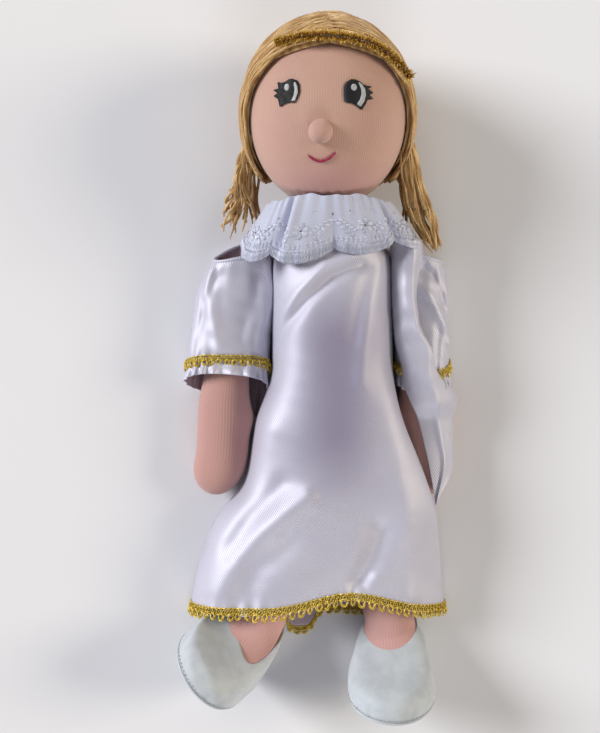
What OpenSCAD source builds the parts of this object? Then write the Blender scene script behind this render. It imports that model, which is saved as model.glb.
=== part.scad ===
// Stuffed fabric angel in a satin gown, lying on its back.
// +Y runs to the head, +X to the doll's left and +Z up from what it lies on. All sizes are in mm.

/* [Cloth and seams] */
// Thickness of the knitted skin
skin_t = 1; // [0.6:0.1:1.6]
// Thickness of the satin
satin_t = 0.8; // [0.5:0.1:1.2]
// Slack between cloth and what lies under it
cloth_gap = 0.6; // [0.4:0.1:1.2]
// Gap at a seam between two stuffed pieces
seam_gap = 0.3; // [0.2:0.05:0.6]
// Depth of the flat that the doll's weight leaves in a soft piece
rest_cut = 0.5; // [0.2:0.1:1]

/* [Body] */
// Middle of the body, measured from the middle of the doll's whole width
body_x = 11; // [7:0.5:14]
// Width of the body
torso_w = 68; // [58:1:78]
// Depth of the body from chest to back
torso_d = 48; // [40:1:56]
// Width of the body where it closes towards the neck
neck_end_w = 44; // [38:1:50]
// Depth of the body where it closes towards the neck
neck_end_d = 32; // [28:1:36]
// How much the shoulders slope
slope = 4; // [2:0.5:6]
// How much the waist is drawn in on each side
waist_in = 3; // [0:0.5:6]
// Top of the body along the doll
shoulder_y = 74; // [68:0.5:80]

/* [Neck] */
// Diameter of the stuffed neck
neck_d = 30; // [24:1:34]
// How far the neck's sewn top lies above its middle
neck_rise = 4.4; // [2:0.2:6]
// Height of the neck's middle off the ground
neck_z = 38; // [32:1:42]

/* [Head] */
// Middle of the head, measured from the middle of the doll's whole width
head_x = 7.5; // [4:0.5:12]
// Width of the head
head_w = 88; // [78:1:98]
// Height of the head
head_h = 103; // [92:1:112]
// Depth of the head
head_d = 82; // [72:1:92]
// Diameter of the seam where the neck is sewn on
neck_seat_d = 36; // [35:1:44]

/* [Face] */
// Turn of the face towards the doll's right
face_turn = 6; // [0:1:12]
// Width of an eye
eye_w = 12.8; // [9:0.2:16]
// Height of an eye
eye_h = 15.5; // [11:0.5:18]
// Distance between the middles of the eyes
eye_pitch = 35; // [30:1:40]
// Height of the eyes above the middle of the head
eye_y = 4.4; // [0:0.2:9]
// Thickness of the embroidery
stitch_t = 0.8; // [0.5:0.1:1.2]
// Length of a lash
lash_l = 4.6; // [3:0.2:7]
// Diameter of the dot of light in an eye
glint_d = 2.6; // [1.6:0.2:4]
// Diameter of the padded nose
nose_d = 12.8; // [9:0.2:16]
// How far the middle of the nose lies in front of the face
nose_out = 2.4; // [1:0.2:4]
// Distance of the nose below the middle of the head
nose_drop = 16; // [12:0.5:20]
// Width of the mouth
mouth_w = 14; // [9:0.5:20]
// Depth of the smile
mouth_sag = 3; // [1:0.2:5]
// Distance of the mouth's corners below the middle of the head
mouth_drop = 28; // [24.5:0.5:32]
// Diameter of the mouth's thread
thread_d = 1.2; // [0.8:0.1:2]

/* [Hair] */
// Slack between the head and the yarn
hair_gap = 0.8; // [0.6:0.1:1.5]
// Thickness of the yarn over the crown
hair_t = 5; // [3:0.5:8]
// How far the hair's front edge stands off the face
hair_lift = 1.6; // [1.2:0.1:2.4]
// Thickness of the yarn that the head lies on
hair_back_t = 4.5; // [3:0.5:7]
// Angle of the front hairline above the middle of the head
hairline = 36; // [30:1:44]
// Length of the thin lock at the doll's right
right_lock_l = 50; // [40:1:60]
// Thickness of the thin lock at its top
right_lock_d = 10; // [6:0.5:13]
// Length of the thick lock at the doll's left
left_lock_l = 44; // [36:1:47]
// Thickness of the thick lock at its top
left_lock_d = 13; // [9:0.5:16]

/* [Halo] */
// Thickness of the tinsel
halo_d = 6; // [4:0.5:9]
// Diameter of the wire inside the tinsel
halo_wire_d = 1.2; // [0.8:0.1:2]
// How far the halo lies in front of the middle of the head, at the crown
halo_front = 36; // [20:1:38]
// Where the halo starts at the doll's left, as an angle about the head
halo_left = 23; // [10:1:40]
// Where the halo ends at the doll's right
halo_right = 136; // [120:1:150]

/* [Arms] */
// Thickness of an arm
arm_d = 26; // [20:0.5:28]
// Length of an arm from the shoulder joint to the tip of the hand
arm_l = 124; // [110:1:134]
// How far an arm is sewn in above its joint
arm_top = 13; // [9:0.5:16]
// Distance of the shoulder joint below the top of the body
arm_drop = 26; // [22:0.5:32]
// Width of a hand
hand_w = 31; // [26:0.5:34]
// Thickness of a hand
hand_d = 24; // [20:0.5:26]
// How far a thumb stands out
thumb = 2; // [0:0.2:3]
// Lean of the right arm away from the body
right_arm_lean = 3.5; // [3:0.5:8]
// Lean of the left arm away from the body
left_arm_lean = 1.5; // [1:0.5:4]

/* [Sleeves] */
// Width of the right sleeve
right_sleeve_w = 46; // [38:1:54]
// Width of the left sleeve, bunched against the side
left_sleeve_w = 31.5; // [31:0.5:36]
// Height of a sleeve off the ground
sleeve_d = 32; // [30:0.5:38]
// Length of a sleeve
sleeve_l = 66; // [50:1:76]
// How much narrower a sleeve is at its open top
sleeve_taper = 2; // [0:0.5:3]

/* [Legs] */
// Line of the hip joint along the doll
hip_y = -45; // [-50:0.5:-40]
// Distance between the hip joints
hip_pitch = 36; // [34:1:38]
// Thickness of a leg at the hip
leg_d = 33; // [28:0.5:36]
// Thickness of a leg at the ankle
ankle_d = 29; // [24:0.5:31]
// Length of a leg from hip to ankle
leg_l = 107; // [96:1:112]
// Lean of the right leg away from the other
right_leg_lean = 13; // [9:0.5:15]
// Lean of the left leg away from the other
left_leg_lean = 8.5; // [6:0.5:10]

/* [Shoes] */
// Width of a shoe
shoe_w = 50; // [42:1:54]
// Length of a shoe from heel to toe
shoe_l = 60; // [54:1:66]
// Height of a shoe from its sole to the middle of the ankle
shoe_h = 34; // [30:1:42]
// Thickness of the leatherette
shoe_t = 1.2; // [0.8:0.1:2]
// Thickness of a sole
sole_t = 3; // [2:0.5:5]
// Dip of the shoe's opening towards the toe
opening_tilt = 38; // [20:1:42]
// Point of the toes away from the leg
toe_tilt = 15; // [5:1:22]
// Roll of the right foot, as it lies
right_roll = -36; // [-42:1:-20]
// Roll of the left foot, as it lies
left_roll = -9; // [-20:1:6]

/* [Gown] */
// Puff of the bodice over the chest
chest_puff = 3; // [2:0.5:8]
// Height of the skirt's crown over the legs at the hem
hem_h = 43; // [41:0.5:52]
// Line of the front hem along the doll
hem_y = -143; // [-148:0.5:-136]
// How much lower the back hem hangs
back_drop = 7; // [2:0.5:9]
// Width of the hem
hem_w = 152; // [136:1:158]
// Middle of the hem, measured from the middle of the doll's whole width
hem_x = 3; // [0:0.5:6]
// Depth of the dip between the legs at the hem
leg_dip = 5; // [0:0.5:7]
// Depth of the crease below the collar
crease = 2; // [0:0.2:2.4]

/* [Lace collar] */
// Thickness of the lace
lace_t = 0.8; // [0.5:0.1:1.2]
// Width of the collar's gathered edge
collar_in_w = 66; // [52:1:72]
// Height of the collar's gathered edge from back to front
collar_in_d = 44; // [40:1:48]
// Width of the collar over the shoulders
collar_w = 96; // [88:1:100]
// Length of the collar down the chest
collar_l = 34; // [24:1:38]
// Number of scallops
scallops = 12; // [8:1:16]
// Depth of a scallop
scallop_h = 3; // [0:0.5:4]
// Height of the ruffle at the edge
ruffle_h = 1.6; // [0:0.2:2.4]

/* [Gold braid] */
// Height of the braid
braid_h = 6; // [4:0.5:9]
// Thickness of the braid
braid_t = 1; // [0.6:0.1:1.4]

/* [Hidden] */
$fn = 48;

// Colours as the photograph shows them
jersey = "#CFA596";
leg_pink = "#E0A6A0";
embroidery = "#22252E";
glint_white = "#D9DCE0";
lip_thread = "#B0144F";
blond = "#C99A4E";
gold = "#C9A02E";
steel = "#8C8C8C";
fibre = "#F4F2EC";
satin_white = "#ECE8F2";
lace_white = "#F3F1F4";
leatherette = "#E9E9E6";

// Facets round the outer and the inner faces of stuffed pieces, and across cloth
n_head = 24;
n_hair = 32;
n_limb = 14;
n_panel = 19;
n_collar = 4 * scallops;
n_sleeve = 18;
n_tinsel = 8;
head_rows = 11;
head_inner_rows = 8;

// Levels above the ground
ground = satin_t + cloth_gap;
torso_z = torso_d / 2 + ground - rest_cut;
head_z = head_d / 2 + hair_gap + hair_back_t - rest_cut;
leg_z = leg_d / 2 + ground - rest_cut;
edge_z = ground;

// Places along and across the doll
neck_y = shoulder_y + seam_gap + neck_d / 2;
neck_x = (body_x + head_x) / 2;
seat_y = neck_y + neck_rise + seam_gap;
seat_drop = head_h / 2 * sqrt(1 - pow(neck_seat_d / head_w, 2));
head_y = seat_y + seat_drop;
fold_y = hip_y + leg_d / 2 + seam_gap;
bodice_r = torso_w / 2 + cloth_gap + satin_t;
bodice_h = torso_z + torso_d / 2 + cloth_gap + satin_t + chest_puff;
arm_y = shoulder_y - arm_drop;
right_arm_x = body_x - bodice_r - cloth_gap - right_sleeve_w / 2;
left_arm_x = body_x + bodice_r + cloth_gap + left_sleeve_w / 2;
arm_tip_y = arm_y - arm_l;
over_arm_z = ground + arm_d + cloth_gap + satin_t;
hem_l = hem_x - hem_w / 2;
hem_r = hem_x + hem_w / 2;
thumb_at = 0.66;
hand_y = arm_y + arm_top - thumb_at * (arm_l + arm_top);
hand_in_x = right_arm_x - (arm_y - hand_y) * sin(right_arm_lean) + hand_w / 2 + thumb + cloth_gap;
foot_off = shoe_l / 2 + (shoe_h * sin(toe_tilt) - leg_z + ground - rest_cut) / cos(toe_tilt);

function lerp(a, b, t) = a + (b - a) * t;
function smooth(t) = let (k = min(1, max(0, t))) k * k * (3 - 2 * k);
function bell(d, w) = exp(-pow(d / w, 2));
function mean(r) = [for (k = [0 : 2]) [for (p = r) p[k]] * [for (p = r) 1] / len(r)];
function span(a, b, m) = [for (i = [0 : m]) lerp(a, b, i / m)];

// Oval ring about c, tilted rx about X and then turned rz about Z, and never lower than low
function oval(c, a, b, n, rx = 0, rz = 0, low = 0) = [
    for (i = [0 : n - 1])
        let (x = a * cos(360 * i / n), d = b * sin(360 * i / n), y = -d * sin(rx))
        [c.x + x * cos(rz) - y * sin(rz), c.y + x * sin(rz) + y * cos(rz), max(low, c.z + d * cos(rx))]
];

// Faces between neighbouring rings of n points, from point number k on
function skin_faces(k, n, m, wrap = true, flip = false) = [
    for (i = [0 : m - 2], j = [0 : n - (wrap ? 1 : 2)])
        let (a = k + i * n + j, b = k + i * n + (j + 1) % n)
        each flip
            ? [[a, b + n, a + n], [a, b, b + n]]
            : [[a, a + n, b + n], [a, b + n, b]]
];

// Fan from point number mid over the ring that starts at point number k
function fan(mid, k, n, flip = false) = [
    for (j = [0 : n - 1])
        let (a = k + j, b = k + (j + 1) % n)
        flip ? [mid, b, a] : [mid, a, b]
];

// Strip between two rows of n points, from numbers k and l on
function strip(k, l, n, wrap = true, flip = false) = [
    for (j = [0 : n - (wrap ? 1 : 2)])
        let (a = k + j, b = k + (j + 1) % n, c = l + j, d = l + (j + 1) % n)
        each flip ? [[a, d, b], [a, c, d]] : [[a, b, d], [a, d, c]]
];

// Solid through rings, closed at both ends
module loft(rings) {
    n = len(rings[0]);
    m = len(rings);
    polyhedron(
        concat([for (r = rings) each r], [mean(rings[0]), mean(rings[m - 1])]),
        concat(
            skin_faces(0, n, m),
            fan(m * n, 0, n),
            fan(m * n + 1, (m - 1) * n, n, true)
        )
    );
}

// Sheet between two grids of points: a tube where its columns close on themselves
module slab(outer, inner, wrap = true) {
    n = len(outer[0]);
    m = len(outer);
    k = m * n;
    side = [
        for (i = [0 : m - 2])
            let (a = i * n, b = a + n, c = a + n - 1, d = b + n - 1)
            each [[a, k + a, k + b], [a, k + b, b], [c, d, k + d], [c, k + d, k + c]]
    ];
    polyhedron(
        concat([for (r = outer) each r], [for (r = inner) each r]),
        concat(
            skin_faces(0, n, m, wrap),
            skin_faces(k, n, m, wrap, true),
            strip(0, k, n, wrap),
            strip(k - n, 2 * k - n, n, wrap, true),
            wrap ? [] : side
        )
    );
}

// Sock of two layers, open at its first ring or at its last
module sock(outer, inner, open_first) {
    n = len(outer[0]);
    m = len(outer);
    l = len(inner[0]);
    h = len(inner);
    k = m * n;
    last = k + h * l;
    shut = open_first ? m - 1 : 0;
    shut_in = open_first ? h - 1 : 0;
    open_k = open_first ? 0 : k - n;
    open_l = k + (open_first ? 0 : (h - 1) * l);
    polyhedron(
        concat(
            [for (r = outer) each r], [for (r = inner) each r], [mean(outer[shut]), mean(inner[shut_in])]
        ),
        concat(
            skin_faces(0, n, m),
            skin_faces(k, l, h, true, true),
            fan(last, shut * n, n, open_first),
            fan(last + 1, k + shut_in * l, l, !open_first),
            strip(open_k, open_l, n, true, !open_first)
        )
    );
}

// Head: an egg, flat where the neck is sewn on
function head_pt(lat, lon, out) = [
    head_x + (head_w / 2 + out) * cos(lat) * cos(lon),
    head_y + (head_h / 2 + out) * sin(lat),
    head_z + (head_d / 2 + out) * cos(lat) * sin(lon)
];

function head_rings(out, n, m) = [
    for (lat = span(84, -asin(seat_drop / (head_h / 2 + out)), m))
        [for (i = [0 : n - 1]) head_pt(lat, 360 * i / n, out)]
];

module head_skin() {
    color(jersey) sock(head_rings(0, n_head, head_rows), head_rings(-skin_t, n_head, head_inner_rows), false);
}

module head_filling() {
    color(fibre) loft(head_rings(-skin_t - seam_gap, n_head, head_inner_rows));
}

// Place on the face, dx to the doll's left and dy up from the middle of the head
function face_pt(dx, dy, out) =
    let (lat = asin(dy / (head_h / 2)))
    head_pt(lat, 90 + face_turn - asin(dx / (head_w / 2 * cos(lat))), out);

// Patch of embroidery with the outline pts about c, from out to out + t above the skin
module patch(c, pts, out, t) {
    function ring(k, o) = [for (p = pts) face_pt(c.x + p.x * k, c.y + p.y * k, o)];
    inset = 0.4;
    loft([ring(inset, out), ring(1, out), ring(1, out + t), ring(inset, out + t)]);
}

stitch_gap = 0.5;
function eye_outline(n) = [
    for (i = [0 : n - 1])
        let (q = 360 * i / n, s = sin(q))
        [eye_w / 2 * cos(q), eye_h / 2 * (s > 0 ? s : -pow(-s, 0.7))]
];
function disc(d, n) = [for (i = [0 : n - 1]) d / 2 * [cos(360 * i / n), sin(360 * i / n)]];

// An eye with three lashes at its outer side
module eye(side) {
    c = [side * eye_pitch / 2, eye_y];
    lash_w = lash_l * 0.3;
    lash_fan = [4, 26, 48];
    color(embroidery) {
        patch(c, eye_outline(24), stitch_gap, stitch_t);
        for (q = lash_fan) {
            dir = [side * cos(q), sin(q)];
            across = [-dir.y, dir.x] * lash_w;
            root = [dir.x * (eye_w / 2 + seam_gap), dir.y * (eye_h / 2 + seam_gap)];
            mid = c + root + dir * lash_l / 2;
            half = dir * lash_l / 2;
            patch(mid, [half, across - half, -across - half], stitch_gap, stitch_t);
        }
    }
}

module eye_glint(side) {
    c = [side * eye_pitch / 2, eye_y + eye_h / 4];
    color(glint_white) patch(c, disc(glint_d, 12), stitch_gap + stitch_t + seam_gap, stitch_t / 2);
}

module right_eye() { eye(-1); }
module left_eye() { eye(1); }
module right_eye_glint() { eye_glint(-1); }
module left_eye_glint() { eye_glint(1); }

// Nose: a padded ball with a flat base on the face
module nose() {
    seat = face_pt(0, -nose_drop, stitch_gap);
    pitch = atan(nose_drop / (head_h / 2) * (head_d / head_h));
    color(jersey)
        translate(seat)
            rotate([pitch, 0, 0])
                rotate([0, -face_turn, 0])
                    intersection() {
                        translate([0, 0, nose_out]) sphere(d = nose_d);
                        translate([-nose_d, -nose_d, 0]) cube(2 * nose_d);
                    }
}

module mouth() {
    out = stitch_gap + thread_d / 2;
    sides = 6;
    color(lip_thread)
        loft([
            for (t = span(-1, 1, 10))
                let (p = face_pt(t * mouth_w / 2, -mouth_drop - mouth_sag * (1 - t * t), out))
                [for (i = [0 : sides - 1]) p + thread_d / 2 * [0, cos(360 * i / sides), sin(360 * i / sides)]]
        ]);
}

// Hair: a yarn layer over the crown and the back, whose edge follows the hairline
hair_out = hair_gap + hair_t;
function hair_edge(lon) = lookup(asin(sin(lon)), [
    [-90, -42], [-20, -38], [0, -28], [20, 10], [40, 0.75 * hairline], [90, hairline]
]);
function hair_rings(out, back, lift, m) = [
    for (s = span(0, 1, m))
        [
            for (i = [0 : n_hair - 1])
                let (
                    lon = 360 * i / n_hair,
                    o = lerp(out, back, smooth(-sin(lon) * 1.5)) + lift * s * s * smooth(sin(lon) * 2 + 1),
                    p = head_pt(lerp(84, hair_edge(lon), s), lon, o)
                )
                [p.x, p.y, max(0, p.z)]
        ]
];

module hair() {
    color(blond) sock(
        hair_rings(hair_out, hair_gap + hair_back_t, 0, 9),
        hair_rings(hair_gap, hair_gap, hair_lift, 9),
        false
    );
}

// Lock of yarn that hangs from the hair's edge beside the neck, and spreads to the side
module lock(side, d, l) {
    top = head_pt(hair_edge(0), side > 0 ? 0 : 180, hair_gap + hair_t / 2);
    swing = 0.42 * l;
    fall = 0.38 * l;
    m = 7;
    color(blond) loft([
        for (t = span(0, 1, m))
            let (
                r = d / 2 * (1 - 0.75 * t * t),
                c = top + [side * (hair_t / 2 + swing * pow(t, 1.3)), -seam_gap - 0.4 * d - l * t, -fall * t]
            )
            oval(c, r, r, n_limb / 2)
    ]);
}

module right_lock() { lock(-1, right_lock_d, right_lock_l); }
module left_lock() { lock(1, left_lock_d, left_lock_l); }

// Halo: tinsel twisted round a wire, lying on the hair like a band over the crown
halo_seat = halo_d / 2 + seam_gap;
function halo_pt(q) =
    let (
        z = halo_front * smooth((q - halo_left) / 60),
        k = sqrt(1 - pow(z / (head_d / 2 + hair_out), 2))
    )
    [
        head_x + (head_w / 2 + hair_out + halo_seat) * k * cos(q),
        head_y + (head_h / 2 + hair_out + halo_seat) * k * sin(q),
        head_z + z + halo_seat * sqrt(1 - k * k)
    ];
function halo_rings(r, n) = [
    for (q = span(halo_right, halo_left, 20))
        [
            for (i = [0 : n - 1])
                let (w = 360 * i / n)
                halo_pt(q) + r * [cos(w) * cos(q), cos(w) * sin(q), sin(w)]
        ]
];

module halo_wire() {
    color(steel) loft(halo_rings(halo_wire_d / 2, 6));
}

module halo_tinsel() {
    wire_gap = 0.2;
    color(gold) slab(halo_rings(halo_d / 2, n_tinsel), halo_rings(halo_wire_d / 2 + wire_gap, n_tinsel));
}

// Neck: a stuffed ball, flat where the head is sewn on
function neck_rings(out, n) = [
    for (q = span(asin(neck_rise / (neck_d / 2 + out)), -80, 6))
        let (r = neck_d / 2 + out)
        oval([neck_x, neck_y + r * sin(q), neck_z], r * cos(q), r * cos(q), n)
];

module neck_skin() {
    color(jersey) sock(neck_rings(0, n_limb), neck_rings(-skin_t, n_limb), true);
}

module neck_filling() {
    color(fibre) loft(neck_rings(-skin_t - seam_gap, n_limb));
}

// Body: widest at the chest, drawn in towards the neck over sloping shoulders
neck_end_z = neck_z - slope;
chest_y = shoulder_y - 14;
breast_y = shoulder_y - 34;
waist_y = lerp(shoulder_y, fold_y, 0.6);
seat_l = 10;
seat_in = 5;
function torso_rings(out, n) = [
    for (s = [
        [shoulder_y, neck_end_w / 2, neck_end_d / 2, neck_end_z],
        [shoulder_y - slope, torso_w / 2 - slope, torso_d / 2 - slope, torso_z + slope / 2],
        [chest_y, torso_w / 2, torso_d / 2, torso_z],
        [breast_y, torso_w / 2, torso_d / 2, torso_z],
        [waist_y, torso_w / 2 - waist_in, torso_d / 2, torso_z],
        [fold_y + seat_l, torso_w / 2, torso_d / 2, torso_z],
        [fold_y - out, torso_w / 2 - seat_in, torso_d / 2 - seat_in, torso_z]
    ])
        oval([body_x, s[0], s[3]], s[1] + out, s[2] + out, n, low = ground - out)
];

module torso_skin() {
    color(jersey) sock(torso_rings(0, n_limb), torso_rings(-skin_t, n_limb), true);
}

module torso_filling() {
    color(fibre) loft(torso_rings(-skin_t - seam_gap, n_limb));
}

// Gown: left and right edges, height of the right edge and height of the crown along the doll
top_y = shoulder_y + ground;
yoke_y = chest_y + ground;
hip_l = 22;
side_l = 6;
hand_clear = 4;
flare_y = arm_tip_y - hand_clear;
function gown_left(y) = lookup(y, [
    [hem_y, hem_l],
    [flare_y, lerp(hand_in_x, hem_l, 0.2)],
    [hand_y, hand_in_x],
    [fold_y, lerp(body_x - bodice_r, hand_in_x, 0.45)],
    [fold_y + hip_l, body_x - bodice_r],
    [yoke_y, body_x - bodice_r],
    [shoulder_y - slope, body_x - bodice_r + slope / 2],
    [top_y, body_x - neck_end_w / 2 - 2 * ground]
]);
function gown_right(y) = lookup(y, [
    [hem_y, hem_r],
    [flare_y, lerp(body_x + bodice_r, hem_r, 0.82)],
    [fold_y, body_x + bodice_r],
    [yoke_y, body_x + bodice_r],
    [shoulder_y - slope, body_x + bodice_r - slope / 2],
    [top_y, body_x + neck_end_w / 2 + 2 * ground]
]);
function gown_right_z(y) = lookup(y, [
    [flare_y - hand_d / 2, edge_z],
    [flare_y, over_arm_z],
    [fold_y + side_l, over_arm_z],
    [fold_y + hip_l, edge_z]
]);
function gown_h(y) = lookup(y, [
    [hem_y, hem_h],
    [lerp(fold_y, hem_y, 0.35), lerp(bodice_h, hem_h, 0.6)],
    [fold_y, bodice_h - chest_puff / 2],
    [breast_y, bodice_h],
    [yoke_y, bodice_h],
    [top_y, neck_end_z + neck_end_d / 2 + ground]
]);
function gown_x(y) = lookup(y, [[hem_y, hem_x], [fold_y, body_x]]);

// Dip between the legs, waves at the hem, and the crease that runs across below the collar
crease_y = shoulder_y - collar_l - 8;
function gown_fold(x, y) =
    let (down = smooth((fold_y - 30 - y) / (fold_y - 30 - hem_y)))
    -leg_dip * down * bell(x - gown_x(y), 14)
    + 0.8 * down * cos(360 * (x - hem_x) / 22)
    - crease * bell(y - crease_y + 0.35 * (body_x - x), 5) * bell(x - body_x + 8, 26);

function gown_pt(y, q, out) =
    let (
        p = lerp(0.5, 0.45, smooth((fold_y - y) / (fold_y - hem_y))),
        c = sign(cos(q)) * pow(abs(cos(q)), p),
        s = pow(sin(q), p),
        mid = gown_x(y),
        x = mid + c * (out + (c > 0 ? gown_right(y) - mid : mid - gown_left(y))),
        z = c > 0 ? gown_right_z(y) : edge_z
    )
    [x, y, z + (gown_h(y) + out - z + gown_fold(x, y)) * s];

function gown_rows(ys, out) = [
    for (y = ys) [for (i = [0 : n_panel - 1]) gown_pt(y, 180 * i / (n_panel - 1), out)]
];
bodice_ys = concat([top_y, shoulder_y - slope], span(yoke_y, fold_y, 11));
skirt_ys = concat(span(fold_y - seam_gap, flare_y, 6), span(flare_y - 10, hem_y, 6));
back_ys = [for (y = skirt_ys) y == hem_y ? hem_y - back_drop : y];

// Back of the gown: satin that lies flat under the body, beside the left arm
function back_right(y) = min(gown_right(y), lookup(y, [[hem_y, hem_r], [flare_y, body_x + bodice_r]]));
module back_panel(ys) {
    pts = concat(
        [for (y = ys) [gown_left(max(y, hem_y)), y]],
        [for (i = [len(ys) - 1 : -1 : 0]) [back_right(max(ys[i], hem_y)), ys[i]]]
    );
    color(satin_white) linear_extrude(satin_t) polygon(pts);
}

module bodice_front() {
    color(satin_white) slab(gown_rows(bodice_ys, 0), gown_rows(bodice_ys, -satin_t), false);
}

module bodice_back() { back_panel(bodice_ys); }

module skirt_front() {
    color(satin_white) slab(gown_rows(skirt_ys, 0), gown_rows(skirt_ys, -satin_t), false);
}

module skirt_back() { back_panel(back_ys); }

// Braid sewn on the outside of the front hem, and along the edge of the back one
module hem_braid_front() {
    ys = [hem_y + braid_h, hem_y + braid_h / 2, hem_y];
    color(gold) slab(gown_rows(ys, seam_gap + braid_t), gown_rows(ys, seam_gap), false);
}

module hem_braid_back() {
    color(gold)
        translate([hem_l, hem_y - back_drop - seam_gap - braid_h, 0])
            cube([hem_w, braid_h, braid_t]);
}

// Collar: a lace frill gathered at the neck, scalloped at its edge, short behind the neck
collar_top_y = neck_y + neck_rise / 4;
side_z = neck_z - 10;
nape_l = 11;
over_l = 18;
function collar_pt(q, s, out) =
    let (
        front = sin(q) > 0,
        lift = front ? bodice_h + seam_gap + ruffle_h - side_z : side_z - 2 * ruffle_h - edge_z,
        rise = front ? pow(sin(q), 0.5) : sin(q),
        len_at = lerp(over_l, front ? collar_l : nape_l, abs(sin(q))),
        tip = scallop_h * abs(sin(scallops * q / 2)) * s,
        inner = [
            neck_x + collar_in_w / 2 * cos(q),
            collar_top_y,
            neck_z + collar_in_d / 2 * sin(q)
        ],
        outer = [body_x + collar_w / 2 * cos(q), collar_top_y - len_at - tip, side_z + lift * rise],
        wave = ruffle_h * cos(2 * scallops * q) * s
    )
    lerp(inner, outer, s) + (wave + out) * [cos(q), 0, sin(q)];

function collar_rows(out) = [
    for (s = span(0, 1, 4)) [for (i = [0 : n_collar - 1]) collar_pt(360 * i / n_collar, s, out)]
];

module collar() {
    color(lace_white) slab(collar_rows(lace_t), collar_rows(0));
}

// Arms: built along -Y from the shoulder joint, with the thumb on the +X side
arm_ts = [0, 0.2, 0.42, 0.56, 0.66, 0.76, 0.86, 0.94, 0.985];
function arm_rings(out, n) = [
    for (t = arm_ts)
        let (
            grow = smooth((t - 0.42) / 0.25),
            tip = t < 0.86 ? 1 : sqrt(1 - pow((t - 0.86) / 0.14, 2)),
            b = lerp(arm_d, hand_d, grow) / 2,
            a = lerp(arm_d, hand_w, grow) / 2 * tip,
            bump = thumb * bell(t - thumb_at, 0.07),
            y = lerp(arm_top, -arm_l - out, t)
        )
        oval([bump / 2, y, ground + b], max(0.3, a + bump / 2 + out), max(0.3, b * tip + out), n)
];

module place_arm(side) {
    x = side > 0 ? left_arm_x : right_arm_x;
    lean = side > 0 ? left_arm_lean : -right_arm_lean;
    translate([x, arm_y, 0]) rotate(lean) mirror([side > 0 ? 1 : 0, 0, 0]) children();
}

module arm_skin(side) {
    color(jersey) place_arm(side) sock(arm_rings(0, n_limb), arm_rings(-skin_t, n_limb), true);
}

module arm_filling(side) {
    color(fibre) place_arm(side) loft(arm_rings(-skin_t - seam_gap, n_limb));
}

// Sleeves: flattened tubes of satin, open at the shoulder and at the hem
function sleeve_ring(y, w, out, n, turn) = [
    for (i = [0 : n - 1])
        let (q = turn * i / (turn < 360 ? n - 1 : n), r = sleeve_d / 2)
        [(w / 2 + out) * cos(q), y, max(-out, r - rest_cut + (r + out) * sin(q))]
];
function sleeve_w_at(y, w) = w - sleeve_taper * smooth((y - arm_top + sleeve_l) / sleeve_l);
function sleeve_rings(w, out, n) = [
    for (y = span(arm_top, arm_top - sleeve_l, 6)) sleeve_ring(y, sleeve_w_at(y, w), out, n, 360)
];

module sleeve(side, w) {
    color(satin_white)
        place_arm(side)
            slab(sleeve_rings(w, 0, n_sleeve), sleeve_rings(w, -satin_t, n_sleeve));
}

module sleeve_braid(side, w) {
    n = 15;
    hem = arm_top - sleeve_l;
    ys = [hem + braid_h, hem];
    color(gold)
        place_arm(side)
            slab(
                [for (y = ys) sleeve_ring(y, sleeve_w_at(y, w), seam_gap + braid_t, n, 180)],
                [for (y = ys) sleeve_ring(y, sleeve_w_at(y, w), seam_gap, n, 180)],
                false
            );
}

module right_arm_skin() { arm_skin(-1); }
module right_arm_filling() { arm_filling(-1); }
module right_sleeve() { sleeve(-1, right_sleeve_w); }
module right_sleeve_braid() { sleeve_braid(-1, right_sleeve_w); }
module left_arm_skin() { arm_skin(1); }
module left_arm_filling() { arm_filling(1); }
module left_sleeve() { sleeve(1, left_sleeve_w); }
module left_sleeve_braid() { sleeve_braid(1, left_sleeve_w); }

// Legs: built along -Y from the hip joint, with a round top that turns in the body's lower seam
function leg_rings(out, n) = concat(
    [
        for (q = [70, 40, 15])
            let (r = leg_d / 2 + out)
            oval([0, r * sin(q), leg_z], r * cos(q), r * cos(q), n, low = ground - out)
    ],
    [
        for (t = [0.12, 0.4, 0.7, 1])
            let (r = lerp(leg_d, ankle_d, smooth(t)) / 2 + out)
            oval([0, -leg_l * t, leg_z], r, r, n, opening_tilt * smooth((t - 0.4) / 0.6), low = ground - out)
    ]
);

module place_leg(side) {
    lean = side > 0 ? left_leg_lean : -right_leg_lean;
    translate([body_x + side * hip_pitch / 2, hip_y, 0]) rotate(lean) children();
}

module leg_skin(side) {
    color(leg_pink) place_leg(side) sock(leg_rings(0, n_limb), leg_rings(-skin_t, n_limb), false);
}

module leg_filling(side) {
    color(fibre) place_leg(side) loft(leg_rings(-skin_t - seam_gap, n_limb));
}

// Shoes: from the tilted opening at the ankle to the sole, which points away from the leg
function foot_down(roll) = [sin(roll) * cos(toe_tilt), -cos(roll) * cos(toe_tilt), -sin(toe_tilt)];
function foot_fore(roll) = [sin(roll) * sin(toe_tilt), -cos(roll) * sin(toe_tilt), cos(toe_tilt)];
function shoe_ring(f, roll, out, n) =
    let (
        wide = sin(108 * f),
        turn = smooth(1.4 * f),
        ankle = ankle_d / 2 + shoe_t,
        start = [0, -leg_l - seam_gap / cos(opening_tilt), leg_z],
        c = start + foot_down(roll) * (shoe_h * f - out * (1 - f)) + foot_fore(roll) * foot_off * sin(90 * f)
    )
    oval(
        c, lerp(ankle, shoe_w / 2, wide) + out, lerp(ankle, shoe_l / 2, wide) + out, n,
        lerp(opening_tilt, toe_tilt, turn), roll * turn, ground - out
    );
shoe_fs = [0, 0.2, 0.4, 0.6, 0.8, 0.92, 1];

module shoe_upper(side, roll) {
    color(leatherette)
        place_leg(side)
            slab(
                [for (f = shoe_fs) shoe_ring(f, roll, 0, n_limb)],
                [for (f = shoe_fs) shoe_ring(f, roll, -shoe_t, n_limb)]
            );
}

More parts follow.
